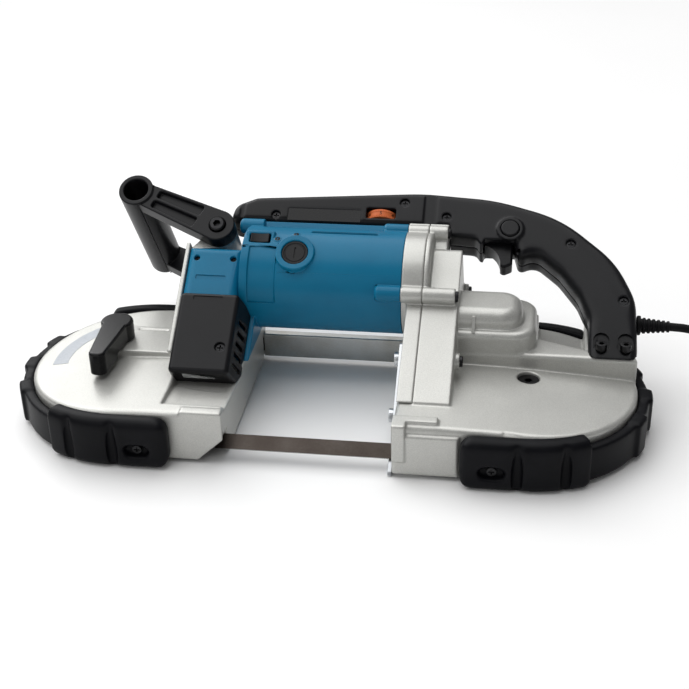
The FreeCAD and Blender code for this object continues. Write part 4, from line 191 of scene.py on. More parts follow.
finger_depth = 0.003
pocket_radius = 0.0063
pocket_reach = 0.0075
pocket_v = 0.0585
pocket_low_w = 0.037
pocket_high_w = 0.05

# Camera of the photograph
camera_azimuth = 9.0
camera_elevation = 29.15
camera_roll = -1.52
camera_distance = 1.03
camera_target = (0.013, -0.043149, 0.0639)
camera_sensor = 36.0
camera_focal_pixels = 1292.0
photo_pixels = 689.0
camera_near = 0.01

# Studio
sun_strength = 2.7
sun_angle = 80.0
sun_way = (-0.4, 0.3, 1.0)
sky_strength = 0.22
lamp_target = (0.0, -0.04, 0.05)
front_place = (-0.5, -1.0, 0.7)
front_size = 0.7
front_power = 1.5
back_place = (-0.8, 0.8, 0.75)
back_size = 0.6
back_power = 3.0
floor_reach = 4.0
floor_base = (0.0, 0.7, 0.5)
floor_cloud = (3.0, 2.0)
floor_colours = ((0.94, 0.94, 0.94), (0.96, 0.96, 0.96))

# Looks: a base gives metal, roughness and gloss, a pattern scale and detail, a relief depth and strength
# Colours run from dark to light over a span of the pattern, and roughness from low to high
colour_span = (0.3, 0.7)
even_share = 0.5
cloud_share = 0.6
silver_base = (0.55, 0.4, 0.5)
silver_colours = ((0.43, 0.43, 0.41), (0.53, 0.53, 0.505), (0.65, 0.65, 0.62))
silver_span = (0.2, 0.9)
silver_roughness = (0.32, 0.5)
silver_flakes = 2600.0
silver_cloud = (14.0, 3.0)
silver_peel = (900.0, 2.0)
silver_relief = (0.00004, 0.5)
lens_base = (0.0, 0.12, 0.5)
lens_colours = ((0.75, 0.79, 0.8), (0.86, 0.88, 0.88))
lens_cloud = (120.0, 2.0)
lens_ripple = (500.0, 1.0)
lens_relief = (0.00004, 0.4)
lens_clearness = 0.6
lens_bending = 1.49
plastic_base = (0.0, 0.4, 0.2)
plastic_detail = 3.0
plastic_cloud = (30.0, 2.0)
plastic_strength = 0.6

# Plastics: material, colours, roughness, then scale and depth of the grain
fine_grain = (1400.0, 0.00004)
plastic_looks = {
    "teal": ("teal_plastic", ((0.002, 0.138, 0.265), (0.003, 0.172, 0.315)), (0.28, 0.4), fine_grain),
    "black_plastic": ("black_plastic", ((0.0042, 0.0043, 0.0054), (0.0075, 0.0077, 0.0095)), (0.28, 0.4),
                      fine_grain),
    "gloss_black": ("gloss_black", ((0.004, 0.0041, 0.0048), (0.007, 0.0071, 0.008)), (0.16, 0.24),
                    (700.0, 0.00002)),
    "orange": ("orange", ((0.6, 0.13, 0.035), (0.76, 0.19, 0.06)), (0.34, 0.46), fine_grain),
    "label": ("label_film", ((0.4, 0.43, 0.47), (0.5, 0.53, 0.57)), (0.16, 0.26), (500.0, 0.00001)),
    "lamp": ("lamp", ((0.62, 0.6, 0.5), (0.8, 0.78, 0.68)), (0.2, 0.32), fine_grain),
}

# Rubbers: colours and roughness
rubber_base = (0.0, 0.55, 0.1)
rubber_grain = (1100.0, 4.0)
rubber_cloud = (45.0, 4.0)
rubber_relief = (0.00005, 0.5)
rubber_looks = {
    "rubber": (((0.0028, 0.003, 0.0042), (0.006, 0.0062, 0.008)), (0.34, 0.5)),
    "cord_rubber": (((0.006, 0.006, 0.0068), (0.011, 0.011, 0.012)), (0.4, 0.55)),
}

# Metals: colours and roughness, then scale and stretch of the marks and span of the colours, if not even
metal_base = (1.0, 0.35, 0.5)
metal_detail = 4.0
metal_cloud = (35.0, 3.0)
metal_relief = (0.00001, 0.4)
even_marks = (300.0, None)
long_stretch = (14.0, 260.0, 260.0)
blade_marks = (40.0, long_stretch)
guard_marks = (30.0, long_stretch)
metal_looks = {
    "wheel_metal": (((0.42, 0.42, 0.41), (0.56, 0.56, 0.545)), (0.35, 0.5)),
    "steel": (((0.36, 0.355, 0.34), (0.52, 0.515, 0.5)), (0.22, 0.36)),
    "black_steel": (((0.018, 0.018, 0.019), (0.04, 0.04, 0.042)), (0.3, 0.45)),
    "zinc": (((0.4, 0.42, 0.45), (0.53, 0.55, 0.57), (0.62, 0.62, 0.6)), (0.24, 0.42),
             even_marks, (0.25, 0.75)),
    "blade_steel": (((0.035, 0.028, 0.024), (0.06, 0.05, 0.044), (0.1, 0.088, 0.08)), (0.3, 0.48),
                    blade_marks),
    "guard_steel": (((0.36, 0.34, 0.3), (0.52, 0.52, 0.5), (0.6, 0.63, 0.64)), (0.28, 0.45),
                    guard_marks),
    "iron_core": (((0.12, 0.12, 0.125), (0.24, 0.24, 0.245)), (0.4, 0.6)),
    "copper": (((0.5, 0.2, 0.09), (0.72, 0.33, 0.16)), (0.25, 0.4)),
}

# Cord, coil and plug; a section of the plug is its place along, width, height and share of the lift
cord_diameter = 0.007
cord_round_steps = 5
cord_spline_steps = 6
cord_spline_order = 3
cord_exit = (0.27, 0.012961, 0.063704)
cord_route = ((0.302, 0.012961, 0.0637), (0.345, 0.010511, 0.0296), (0.378, 0.010511, 0.0296))
coil_centre = (0.385, -0.038149)
coil_start_angle = 90.0
coil_layers = 4
coil_spiral_turns = 1.9375
coil_climb_turns = 0.5
coil_turn_step = 0.0086
coil_layer_step = 0.0082
coil_inner_radius = 0.032
coil_top_z = 0.0296
coil_points_per_turn = 24
tail_end = (0.434987, -0.074124, 0.005)
plug_angle = -87.89
plug_lift = 0.002
plug_round_share = 0.48
plug_sections = (
    (0.0, 0.00875, 0.00875, 0.0), (0.0096, 0.0095, 0.0095, 0.0), (0.012, 0.013, 0.0105, 0.4),
    (0.016, 0.024, 0.0125, 0.8), (0.023, 0.0285, 0.0132, 1.0), (0.032, 0.0292, 0.0134, 1.0),
    (0.039, 0.034, 0.014, 1.0), (0.047, 0.035, 0.014, 1.0), (0.048, 0.033, 0.012, 1.0))
pin_radius = 0.0024
pin_length = 0.019
pin_spacing = 0.019
pin_tip_shares = ((1, 0.5), (0.85, 1 / 6), (0.5, 0))
tie_angle = 200.0
tie_width = 0.012
tie_thickness = 0.001
tie_room = 0.0005
tie_round_share = 1 / 3
relief_start = (0.244, 0.012961, 0.063704)
relief_length = 0.026
relief_radius = 0.0065
relief_neck_radius = 0.0046
relief_collar = 0.003
relief_ribs = 6
rib_depth = 0.0009
rib_low_share = 1 / 3
rib_high_share = 0.5

# Wheels and brushes
wheel_low = 0.007
wheel_high = 0.023
tyre_outer_radius = 0.07945
tyre_inner_radius = 0.07745
tyre_round = 0.0005
brush_x = -0.033
brush_cap_radius = 0.011
brush_cap_depth = 0.006
brush_cap_top = 0.0434
brush_slot = (0.01, 0.0014)
brush_slot_depth = 0.0012
brush_slot_round_share = 1 / 3
brush_dish_shares = ((0.84, 0), (0.8, 1), (0.74, 1), (0.7, 1 / 3), (0.2, 1 / 3))

# Blank panels, plates and label, and small screws by their place along and round the motor
handle_panel = (-0.051, 0.0125, 0.158, 0.1705)
handle_panel_w = 0.0383
panel_margin = 0.0004
panel_thickness = 0.00045
cover_plate = (-0.103, 0.088, 0.06, 0.025, 0.0042)
lamp_plate = (-0.1, 0.065, 0.067, 0.0245, 0.004)
plate_sink = 0.0008
handle_hole = (0.146, 0.1377, 0.039)
handle_hole_radius = 0.0021
handle_hole_depth = 0.006
label_radii = (0.058, 0.0705)
label_angles = (112.0, 190.0)
label_steps = 36
label_rows = 4
label_rise = 0.00018
small_heads = ((-0.035, 29.1), (-0.0495, 19.5))
small_head_radius = 0.0023
small_head_rise = 0.0007
small_boss_radius = 0.0034
small_boss_rise = 0.0003

full_turn = 360.0
half_turn = 180.0
quarter_turn = 90.0
turned_steps = 64
corner_steps = 5
sharp_angle = 38.0


def spin(angle, axis):
    return Matrix.Rotation(math.radians(angle), 4, axis)


def move(x, y, z):
    return Matrix.Translation((x, y, z))


origin_move = move(0, origin_y, 0)


def lean(x, v, w):
    """Matrix that carries a shape drawn upright at the origin to a leaned place."""
    return origin_move @ spin(tilt, "X") @ move(x, v, w)


def upright(x, y, z):
    return origin_move @ move(x, y, z)


def add(name, data):
    """Object in the scene for a mesh, curve, camera or light."""
    piece = bpy.data.objects.new(name, data)
    bpy.context.scene.collection.objects.link(piece)
    return piece


def polar(radius, angle):
    turn = math.radians(angle)
    return radius * math.cos(turn), radius * math.sin(turn)


# Material nodes
def new_material(name, metallic, roughness, gloss):
    made = bpy.data.materials.new(name)
    made.use_nodes = True
    shader = made.node_tree.nodes["Principled BSDF"]
    shader.inputs["Metallic"].default_value = metallic
    shader.inputs["Roughness"].default_value = roughness
    shader.inputs["Specular IOR Level"].default_value = gloss
    return made, made.node_tree, shader


def node(tree, kind, values=None):
    made = tree.nodes.new(kind)
    for name, value in (values or {}).items():
        made.inputs[name].default_value = value
    return made


def place_of(tree, stretch=None):
    """Object coordinates, stretched along the axes where a pattern runs one way."""
    source = node(tree, "ShaderNodeTexCoord").outputs["Object"]
    if stretch is None:
        return source
    mapping = node(tree, "ShaderNodeMapping", {"Scale": stretch})
    tree.links.new(source, mapping.inputs["Vector"])
    return mapping.outputs["Vector"]


def noise(tree, scale, detail, stretch=None):
    made = node(tree, "ShaderNodeTexNoise", {"Scale": scale, "Detail": detail})
    tree.links.new(place_of(tree, stretch), made.inputs["Vector"])
    return made.outputs["Fac"]


def cells(tree, scale):
    """One random value for each small cell, as flakes or sand have."""
    made = node(tree, "ShaderNodeTexVoronoi", {"Scale": scale})
    tree.links.new(place_of(tree), made.inputs["Vector"])
    split = node(tree, "ShaderNodeSeparateColor")
    tree.links.new(made.outputs["Color"], split.inputs["Color"])
    return split.outputs["Red"]


def mixed(tree, first, second, share):
    made = node(tree, "ShaderNodeMix", {"Factor": share})
    tree.links.new(first, made.inputs["A"])
    tree.links.new(second, made.inputs["B"])
    return made.outputs["Result"]


def tint(tree, shader, factor, colours, span=colour_span):
    """Base colour that runs evenly through the colours as the factor crosses the span."""
    low, high = span
    ramp = node(tree, "ShaderNodeValToRGB")
    elements = ramp.color_ramp.elements
    for element, position, colour in zip(elements, span, (colours[0], colours[-1])):
        element.position = position
        element.color = (*colour, 1)
    for index, colour in enumerate(colours[1:-1], 1):
        position = low + (high - low) * index / (len(colours) - 1)
        elements.new(position).color = (*colour, 1)
    tree.links.new(factor, ramp.inputs["Fac"])
    tree.links.new(ramp.outputs["Color"], shader.inputs["Base Color"])


def spread_roughness(tree, shader, factor, low, high):
    made = node(tree, "ShaderNodeMapRange", {"To Min": low, "To Max": high})
    tree.links.new(factor, made.inputs["Value"])
    tree.links.new(made.outputs["Result"], shader.inputs["Roughness"])


def relief(tree, shader, height, distance, strength):
    made = node(tree, "ShaderNodeBump", {"Distance": distance, "Strength": strength})
    tree.links.new(height, made.inputs["Height"])
    tree.links.new(made.outputs["Normal"], shader.inputs["Normal"])


def silver_paint():
    """Sprayed metallic paint on cast aluminium: fine flakes and a slight orange peel."""
    made, tree, shader = new_material("silver_paint", *silver_base)
    flakes = cells(tree, silver_flakes)
    tone = mixed(tree, flakes, noise(tree, *silver_cloud), cloud_share)
    tint(tree, shader, tone, silver_colours, silver_span)
    spread_roughness(tree, shader, flakes, *silver_roughness)
    relief(tree, shader, noise(tree, *silver_peel), *silver_relief)
    return made


def moulded_plastic(name, colours, roughness, grain):
    """Injection moulded plastic with a fine spark-eroded grain."""
    scale, depth = grain
    made, tree, shader = new_material(name, *plastic_base)
    fine = noise(tree, scale, plastic_detail)
    broad = noise(tree, *plastic_cloud)
    tint(tree, shader, mixed(tree, fine, broad, even_share), colours)
    spread_roughness(tree, shader, fine, *roughness)
    relief(tree, shader, fine, depth, plastic_strength)
    return made


def rubber_skin(name, colours, roughness):
    """Matt moulded rubber, a little cloudy, with faint rubbed patches."""
    made, tree, shader = new_material(name, *rubber_base)
    fine = noise(tree, *rubber_grain)
    cloud = noise(tree, *rubber_cloud)
    tint(tree, shader, cloud, colours)
    spread_roughness(tree, shader, mixed(tree, fine, cloud, cloud_share), *roughness)
    relief(tree, shader, fine, *rubber_relief)
    return made


def metal(name, colours, roughness, pattern=even_marks, span=colour_span):
    """Bare or plated metal; a stretch draws its marks out along one axis."""
    scale, stretch = pattern
    made, tree, shader = new_material(name, *metal_base)
    marks = noise(tree, scale, metal_detail, stretch)
    cloud = noise(tree, *metal_cloud)
    tint(tree, shader, mixed(tree, marks, cloud, even_share), colours, span)
    spread_roughness(tree, shader, marks, *roughness)
    relief(tree, shader, marks, *metal_relief)
    return made


def clear_plastic():
    made, tree, shader = new_material("lens", *lens_base)
    tint(tree, shader, noise(tree, *lens_cloud), lens_colours)
    shader.inputs["Transmission Weight"].default_value = lens_clearness
    shader.inputs["IOR"].default_value = lens_bending
    relief(tree, shader, noise(tree, *lens_ripple), *lens_relief)
    return made


def make_looks():
    made = {"silver": silver_paint(), "lens": clear_plastic()}
    for look, row in plastic_looks.items():
        made[look] = moulded_plastic(*row)
    for look, row in rubber_looks.items():
        made[look] = rubber_skin(look, *row)
    for look, row in metal_looks.items():
        made[look] = metal(look, *row)
    return made


looks = make_looks()


# Skins over the solids
def closed_copy(name):
    """A node's solid as one closed mesh, in a piece of its own."""
    work = bmesh.new()
    work.from_mesh(frame["nodes"][name].data)
    bmesh.ops.remove_doubles(work, verts=work.verts, dist=weld_gap)
    mesh = bpy.data.meshes.new(name + "_skin")
    work.to_mesh(mesh)
    work.free()
    for attribute in ("custom_normal", "sharp_edge", "sharp_face"):
        if attribute in mesh.attributes:
            mesh.attributes.remove(mesh.attributes[attribute])
    return add(name + "_skin", mesh)


def cut_side(piece, side):
    """Keeps only what lies on one side of the middle."""
    work = bmesh.new()
    work.from_mesh(piece.data)
    waste = [vertex for vertex in work.verts if side * vertex.co.x < 0]
    bmesh.ops.delete(work, geom=waste, context="VERTS")
    work.to_mesh(piece.data)
    work.free()


def shown_mesh(piece):
    depsgraph = bpy.context.evaluated_depsgraph_get()
    return bpy.data.meshes.new_from_object(piece.evaluated_get(depsgraph))


def settle(piece):
    """Gives a piece the mesh that its modifiers make."""
    mesh = shown_mesh(piece)
    piece.modifiers.clear()
    piece.data = mesh


def body_of(name):
    return frame["nodes"][name]["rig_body"]


def finish_piece(piece, body, look, creased=True):
    """Material, smooth faces, sharp edges where a piece is creased, and the body it moves with."""
    piece.data.materials.clear()
    piece.data.materials.append(looks[look])
    for face in piece.data.polygons:
        face.use_smooth = True
        face.material_index = 0
    if creased:
        piece.data.set_sharp_from_angle(angle=math.radians(sharp_angle))
    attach(piece, body)


def stand_for(piece, name, look, creased=True):
    """Lets a piece take a node's place, on the node's own body."""
    finish_piece(piece, body_of(name), look, creased)
    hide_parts(name)


def voxels(piece, size):
    remesh = piece.modifiers.new("voxels", "REMESH")
    remesh.mode = "VOXEL"
    remesh.voxel_size = size


def smoothed(piece, passes, group=""):
    smooth = piece.modifiers.new("smooth", "SMOOTH")
    smooth.factor = smooth_share
    smooth.iterations = passes
    smooth.vertex_group = group


def thinned(piece, keep_share):
    thin = piece.modifiers.new("thin", "DECIMATE")
    thin.ratio = keep_share


def rounded_edges(piece, width):
    bevel = piece.modifiers.new("edge", "BEVEL")
    bevel.width = width
    bevel.segments = edge_segments
    bevel.limit_method = "ANGLE"
    return bevel


def soft_skin(name, look, voxel, passes, keep_share, cutters=(), hollows=None):
    """Copy of a casting or moulded rubber with all its edges softened, and crisper hollows cut last."""
    piece = closed_copy(name)
    for cutter in cutters:
        carve(piece, cutter)
    voxels(piece, voxel)
    smoothed(piece, passes)
    thinned(piece, keep_share)
    settle(piece)
    if hollows is not None:
        carve(piece, hollows)
    stand_for(piece, name, look, False)
    return piece


def fade(value, start, span):
    """Share from 0 to 1 as a value crosses a span."""
    return min(max((value - start) / span, 0), 1)


def ease(share):
    """Share that starts and ends its rise gently."""
    return share * share * (3 - 2 * share)


def handle_softness(place, trigger_low, trigger_high):
    """How far a point of the handle, leaned back upright, may be rounded: not at its details."""
    x, v, w = place
    share = min(fade(x, handle_flat_x, handle_round_x - handle_flat_x),
                fade(v, handle_foot_v, handle_foot_fade),
                fade(abs(w - handle_parting_w), handle_parting_hold, handle_hold_fade))
    if share == 0:
        return share
    for spot_x, spot_v, radius in handle_spots:
        share = min(share, fade(math.hypot(x - spot_x, v - spot_v), radius, handle_hold_fade))
    sides = zip((x, v), trigger_low, trigger_high)
    outside = [max(low - value, value - high, 0) for value, low, high in sides]
    return min(share, fade(math.hypot(*outside), handle_parting_hold, handle_hold_fade))


def handle_skin(name, cutter=None):
    """Half of the handle, rounder along its arc than the solid."""
    piece = closed_copy(name)
    back_upright = lean(0, 0, 0).inverted()
    trigger = [back_upright @ vertex.co for vertex in frame["nodes"]["trigger"].data.vertices]
    trigger_low = [min(corner[axis] for corner in trigger) for axis in range(2)]
    trigger_high = [max(corner[axis] for corner in trigger) for axis in range(2)]
    piece.data.transform(back_upright)
    voxels(piece, handle_voxel)
    smoothed(piece, handle_light_passes)
    settle(piece)
    group = piece.vertex_groups.new(name="soft")
    for vertex in piece.data.vertices:
        share = handle_softness(vertex.co, trigger_low, trigger_high)
        if share > 0:
            group.add([vertex.index], share, "REPLACE")
    smoothed(piece, handle_passes, "soft")
    thinned(piece, handle_keep_share)
    settle(piece)
    piece.vertex_groups.clear()
    piece.data.transform(lean(0, 0, 0))
    if cutter is not None:
        carve(piece, cutter)
    stand_for(piece, name, "black_plastic")


def pad_end_cutter(side, inner, low, high):
    """Part of a ring past the end of a bumper's front pad."""
    start, end = pad_end_angles
    angles = [start + (end - start) * step / pad_end_steps for step in range(pad_end_steps + 1)]
    arc = [polar(inner, angle) for angle in angles]
    arc += [polar(bumper_clear_radius, angle) for angle in angles[::-1]]
    work = bmesh.new()
    prism(work, [(side * x, y) for x, y in arc], low, high, upright(side * wheel_x, 0, 0))
    return work


def pad_corner_cutter(side, top):
    """Waste outside the round at a corner of a front pad, seen from the front."""
    radius, height, way = (pad_top_round, bumper_pad_high_z, -1) if top else (pad_low_round, 0, 1)
    outline = [(-pad_clear, -pad_clear), (radius, -pad_clear)]
    for step in range(pad_end_steps + 1):
        x, y = polar(radius, quarter_turn * step / pad_end_steps)
        outline.append((radius - y, radius - x))
    outline.append((-pad_clear, radius))
    end = side * (wheel_x - bumper_wrap)
    across = Matrix(((side, 0, 0, end), (0, 0, -1, 0), (0, way, 0, height), (0, 0, 0, 1)))
    work = bmesh.new()
    prism(work, outline, bumper_inner_radius, bumper_clear_radius, origin_move @ across)
    return work


def pad_cutters(side):
    return [pad_end_cutter(side, bumper_strip_radius, -pad_clear, bumper_pad_high_z + pad_clear),
            pad_end_cutter(side, bumper_inner_radius, bumper_strip_high_z, bumper_pad_high_z + pad_clear),
            pad_end_cutter(side, bumper_inner_radius, -pad_clear, bumper_strip_low_z),
            pad_corner_cutter(side, True), pad_corner_cutter(side, False)]


def finger_hollow():
    """Hollow for a finger down the front of the trigger."""
    start, tip = Vector(trigger_start), Vector(trigger_tip)
    along = (tip - start).normalized()
    outward = Vector((along.y, -along.x))
    centre = (start + tip) / 2 + outward * (finger_radius - finger_depth)
    work = bmesh.new()
    turned(work, [(finger_radius, -trigger_half), (finger_radius, trigger_half)], lean(*centre, trigger_w))
    return work


def flute_cutter(side):
    """Long hollows down the outside of a bumper."""
    work = bmesh.new()
    turns = [math.pi * (2 * step + 1) / (2 * flute_steps) for step in range(flute_steps)]
    profile = [(flute_half_width * math.sin(turn), -flute_half_height * math.cos(turn)) for turn in turns]
    for angle in flute_angles:
        x, y = polar(bumper_radius, angle)
        turned(work, profile, upright(side * (wheel_x + x), y, flute_middle_z))
    return work


def edge_skin(name, look, width, cutter=None, slots=None):
    """Copy of a solid with a small round on each sharp edge, its slots' too, and the recesses of a cutter."""
    piece = closed_copy(name)
    if slots is not None:
        carve(piece, slots)
    flat = piece.modifiers.new("flat", "DECIMATE")
    flat.decimate_type = "DISSOLVE"
    flat.angle_limit = math.radians(flat_angle)
    bevel = rounded_edges(piece, width)
    bevel.angle_limit = math.radians(edge_angle)
    bevel.use_clamp_overlap = False
    bevel.miter_outer = "MITER_ARC"
    if cutter is not None:
        carve(piece, cutter)
    stand_for(piece, name, look, cutter is not None)
    normals = piece.modifiers.new("normals", "WEIGHTED_NORMAL")
    normals.keep_sharp = True


def paint_node(name, look):
    """A material for a solid that stays as it is."""
    mesh = frame["nodes"][name].data
    mesh.materials.clear()
    mesh.materials.append(looks[look])


# Small shapes, drawn at the origin along z and carried to their place
def ring(work, outline, height, place):
    return [work.verts.new(place @ Vector((x, y, height))) for x, y in outline]


def prism(work, outline, low, high, place):
    """Closed prism on an outline."""
    bottom = ring(work, outline, low, place)
    top = ring(work, outline, high, place)
    work.faces.new(bottom[::-1])
    work.faces.new(top)
    join_rings(work, bottom, top)


def sunk(work, outline, depth, place):
    """Prism to cut a recess with, as deep below its place as it stands above."""
    prism(work, outline, -depth, depth, place)


def join_rings(work, lower, upper):
    for index, corner in enumerate(lower):
        work.faces.new((lower[index - 1], corner, upper[index], upper[index - 1]))


def stack(work, rings, closed=False):
    """Faces from ring to ring: capped at both ends, or on to the first ring where it is closed."""
    for lower, upper in zip(rings, rings[1:]):
        join_rings(work, lower, upper)
    if closed:
        join_rings(work, rings[-1], rings[0])
    else:
        work.faces.new(rings[0][::-1])
        work.faces.new(rings[-1])


def turned(work, profile, place, steps=turned_steps, hollow=False):
    """Solid turned from (radius, height) points: capped at both ends, or a hoop where it is hollow."""
    rings = [ring(work, ring_outline(radius, steps), height, place) for radius, height in profile]
    stack(work, rings, hollow)


def rounded_outline(width, height, radius):
    """Corners of a rectangle about the origin, each turned through an arc."""
    outline = []
    for index, (side, end) in enumerate(((1, 1), (-1, 1), (-1, -1), (1, -1))):
        for step in range(corner_steps + 1):
            x, y = polar(radius, quarter_turn * (index + step / corner_steps))
            outline.append((side * (width / 2 - radius) + x, end * (height / 2 - radius) + y))
    return outline


def cross_outline(radius):
    arm, half = radius * cross_arm_share, radius * cross_half_share
    return [(arm, -half), (arm, half), (half, half), (half, arm), (-half, arm), (-half, half),
            (-arm, half), (-arm, -half), (-half, -half), (-half, -arm), (half, -arm), (half, -half)]


def ring_outline(radius, count):
    return [polar(radius, full_turn * index / count) for index in range(count)]


def made_piece(name, work):
    """A piece from closed shapes drawn in place."""
    bmesh.ops.recalc_face_normals(work, faces=work.faces)
    mesh = bpy.data.meshes.new(name)
    work.to_mesh(mesh)
    work.free()
    return add(name, mesh)


def carve(piece, work):
    """Cuts closed shapes out of a piece."""
    cutter = made_piece("cutter", work)
    cut = piece.modifiers.new("carve", "BOOLEAN")
    cut.operation = "DIFFERENCE"
    cut.object = cutter
    settle(piece)
    bpy.data.objects.remove(cutter)


# Screws
def on_barrel(x, angle):
    """Place on the motor's barrel, so far round from its front towards its top."""
    return lean(x, motor_v, motor_w) @ spin(-angle, "X") @ move(0, 0, motor_radius)


def facing(place, axis, angle):
    return place @ spin(angle, axis)


def case_places():
    return [facing(lean(*head), "Y", quarter_turn) for head in case_heads]


def grip_places():
    front, back = grip_heads
    return [lean(*front), facing(lean(*back), "X", half_turn)]


def screw_skin(name, recesses, side=0, rounding=head_round):
    """Screws of a node, or those on one side of it, with rounded heads and a driving recess in each."""
    piece = closed_copy(name)
    if side:
        cut_side(piece, side)
    rounded_edges(piece, rounding)
    work = bmesh.new()
    for recess in recesses:
        sunk(work, *recess)
    carve(piece, work)
    return piece


def cross_recess(radius, place):
    return cross_outline(radius), radius * cross_depth_share, place


def socket_recess(radius, place):
    return ring_outline(radius * socket_share, socket_sides), radius * socket_depth_share, place


def make_screws():
    crosses = [cross_recess(radius, lean(x, v, w)) for x, v, w, radius in cross_heads]
    for side in (-1, 1):
        x, y, z = bumper_head
        place = upright(side * x, y, z)
        crosses.append(cross_recess(bumper_head_radius, facing(place, "X", quarter_turn)))
    stand_for(screw_skin("cover_screws", crosses), "cover_screws", "black_steel")
    caps = [socket_recess(case_head_radius, place) for place in case_places()]
    caps += [socket_recess(case_head_radius, upright(*head)) for head in foot_heads]
    stand_for(screw_skin("cap_screws", caps), "cap_screws", "black_steel")
    grips = [socket_recess(grip_head_radius, place) for place in grip_places()]
    stand_for(screw_skin("socket_bolts", grips, -1), "socket_bolts", "black_steel")
    stops = [socket_recess(stop_head_radius, facing(lean(*head), "Y", -quarter_turn)) for head in stop_heads]
    stop_bolts = screw_skin("socket_bolts", stops, 1)
    stop_bolts.name = "stop_bolts"
    finish_piece(stop_bolts, "frame", "zinc")
    axle = [socket_recess(axle_head_radius, upright(wheel_x, 0, axle_head_z))]
    stand_for(screw_skin("drive_axle", axle, 0, axle_round), "drive_axle", "black_steel")


def proud_head(heads, recesses, radius, rise, place):
    """Head that stands above its seat, with a hexagon socket."""
    edge = rise * proud_edge_share
    turned(heads, [(radius, -edge), (radius, rise - edge), (radius - edge, rise)], place)
    sunk(recesses, *socket_recess(radius, place @ move(0, 0, rise)))


def make_proud_heads():
    """Upper part of the gear case's screws and of the front handle's bolts."""
    heads, recesses = bmesh.new(), bmesh.new()
    for place in case_places():
        proud_head(heads, recesses, case_head_radius, proud_case_rise, place)
    for place in grip_places():
        proud_head(heads, recesses, grip_head_radius, proud_grip_rise, place)
    piece = made_piece("proud_heads", heads)
    carve(piece, recesses)
    finish_piece(piece, "frame", "black_steel")


def make_small_screws():
    """Two small screws on the motor, each in a low boss."""
    bosses, heads, recesses = bmesh.new(), bmesh.new(), bmesh.new()
    for head in small_heads:
        place = on_barrel(*head)
        turned(bosses, [(small_boss_radius, -small_boss_rise), (small_boss_radius, small_boss_rise / 2),
                        (small_boss_radius - small_boss_rise, small_boss_rise)], place)
        turned(heads, [(small_head_radius, -small_head_rise), (small_head_radius, small_head_rise / 2),
                       (small_head_radius * cross_arm_share, small_head_rise)], place)
        top = place @ move(0, 0, small_head_rise)
        sunk(recesses, *cross_recess(small_head_radius, top))
    finish_piece(made_piece("motor_screw_bosses", bosses), "frame", "teal")
    piece = made_piece("motor_screws", heads)
    carve(piece, recesses)
    finish_piece(piece, "frame", "black_steel")


# Blade
def blade_span(x):
    """Place on the straight stretch that cuts, where the blade is twisted between the guides."""
    start_x = wheel_x - twist_start
    left_share = (x + start_x) / (twist_left_x + start_x)
    right_share = (start_x - x) / (start_x - twist_right_x)
    share = ease(min(max(min(left_share, right_share), 0), 1))
    y = -blade_path_radius + share * (cut_span_y + blade_path_radius)
    turn = Matrix.Rotation(math.radians(share * (tilt - quarter_turn)), 3, "X")
    return Vector((x, y, blade_middle_z)), turn @ Vector((0, 0, 1)), turn @ Vector((0, -1, 0))


def blade_arc(side, turn):
    """Place on the stretch round a wheel."""
    out = Vector((math.cos(turn), math.sin(turn), 0))
    return Vector((side * wheel_x, 0, blade_middle_z)) + out * blade_path_radius, Vector((0, 0, 1)), out


def blade_place(length):
    """Centre, way across the width and way through the thickness, so far along the endless blade."""
    half_loop = math.pi * blade_path_radius
    span = 2 * wheel_x
    if length < span:
        return blade_span(length - wheel_x)
    length -= span
    if length < half_loop:
        return blade_arc(1, length / blade_path_radius - math.pi / 2)
    length -= half_loop
    if length < span:
        centre = Vector((wheel_x - length, blade_path_radius, blade_middle_z))
        return centre, Vector((0, 0, 1)), Vector((0, 1, 0))
    return blade_arc(-1, (length - span) / blade_path_radius + math.pi / 2)


def make_blade():
    """Endless blade with a fine raker tooth along its lower edge."""
    total = 4 * wheel_x + 2 * math.pi * blade_path_radius
    count = round(total / tooth_pitch)
    pitch = total / count
    work = bmesh.new()
    rings = []
    for index in range(count):
        for share, rise in ((0, tooth_depth), (tooth_tip_share, 0)):
            centre, across, out = blade_place((index + share) * pitch)
            low = centre + across * (rise - blade_width / 2)
            high = centre + across * blade_width / 2
            half = out * blade_thickness / 2
            rings.append([work.verts.new(origin_move @ corner)
                          for corner in (low - half, low + half, high + half, high - half)])
    stack(work, rings, True)
    stand_for(made_piece("toothed_blade", work), "blade", "blade_steel")


# Dial
def make_dial():
    """Thumb wheel with two knurled edges and a smooth band between them."""
    work = bmesh.new()
    place = lean(*dial_place)
    half = dial_width / 2
    band = half - dial_width * dial_band_share
    smooth = dial_radius - dial_knurl
    rims = [(-half, smooth), (dial_knurl - half, dial_radius), (-band, dial_radius), (-band, smooth)]
    rims += [(-height, top) for height, top in rims[::-1]]
    count = dial_knurls * knurl_corners
    rings = []
    for height, top in rims:
        corners = []
        for index in range(count):
            radius = top if index % knurl_corners < knurl_corners / 2 else smooth
            z, x = polar(radius, full_turn * index / count)
            corners.append(Vector((x, height, z)))
        rings.append([work.verts.new(place @ corner) for corner in corners])
    stack(work, rings)
    pin = facing(place, "X", -quarter_turn)
    for low, high in ((-dial_pin_reach, -half), (half, dial_pin_reach)):
        turned(work, [(dial_pin_radius, low), (dial_pin_radius, high)], pin)
    bmesh.ops.remove_doubles(work, verts=work.verts, dist=weld_gap)
    stand_for(made_piece("thumb_wheel", work), "speed_dial", "orange")


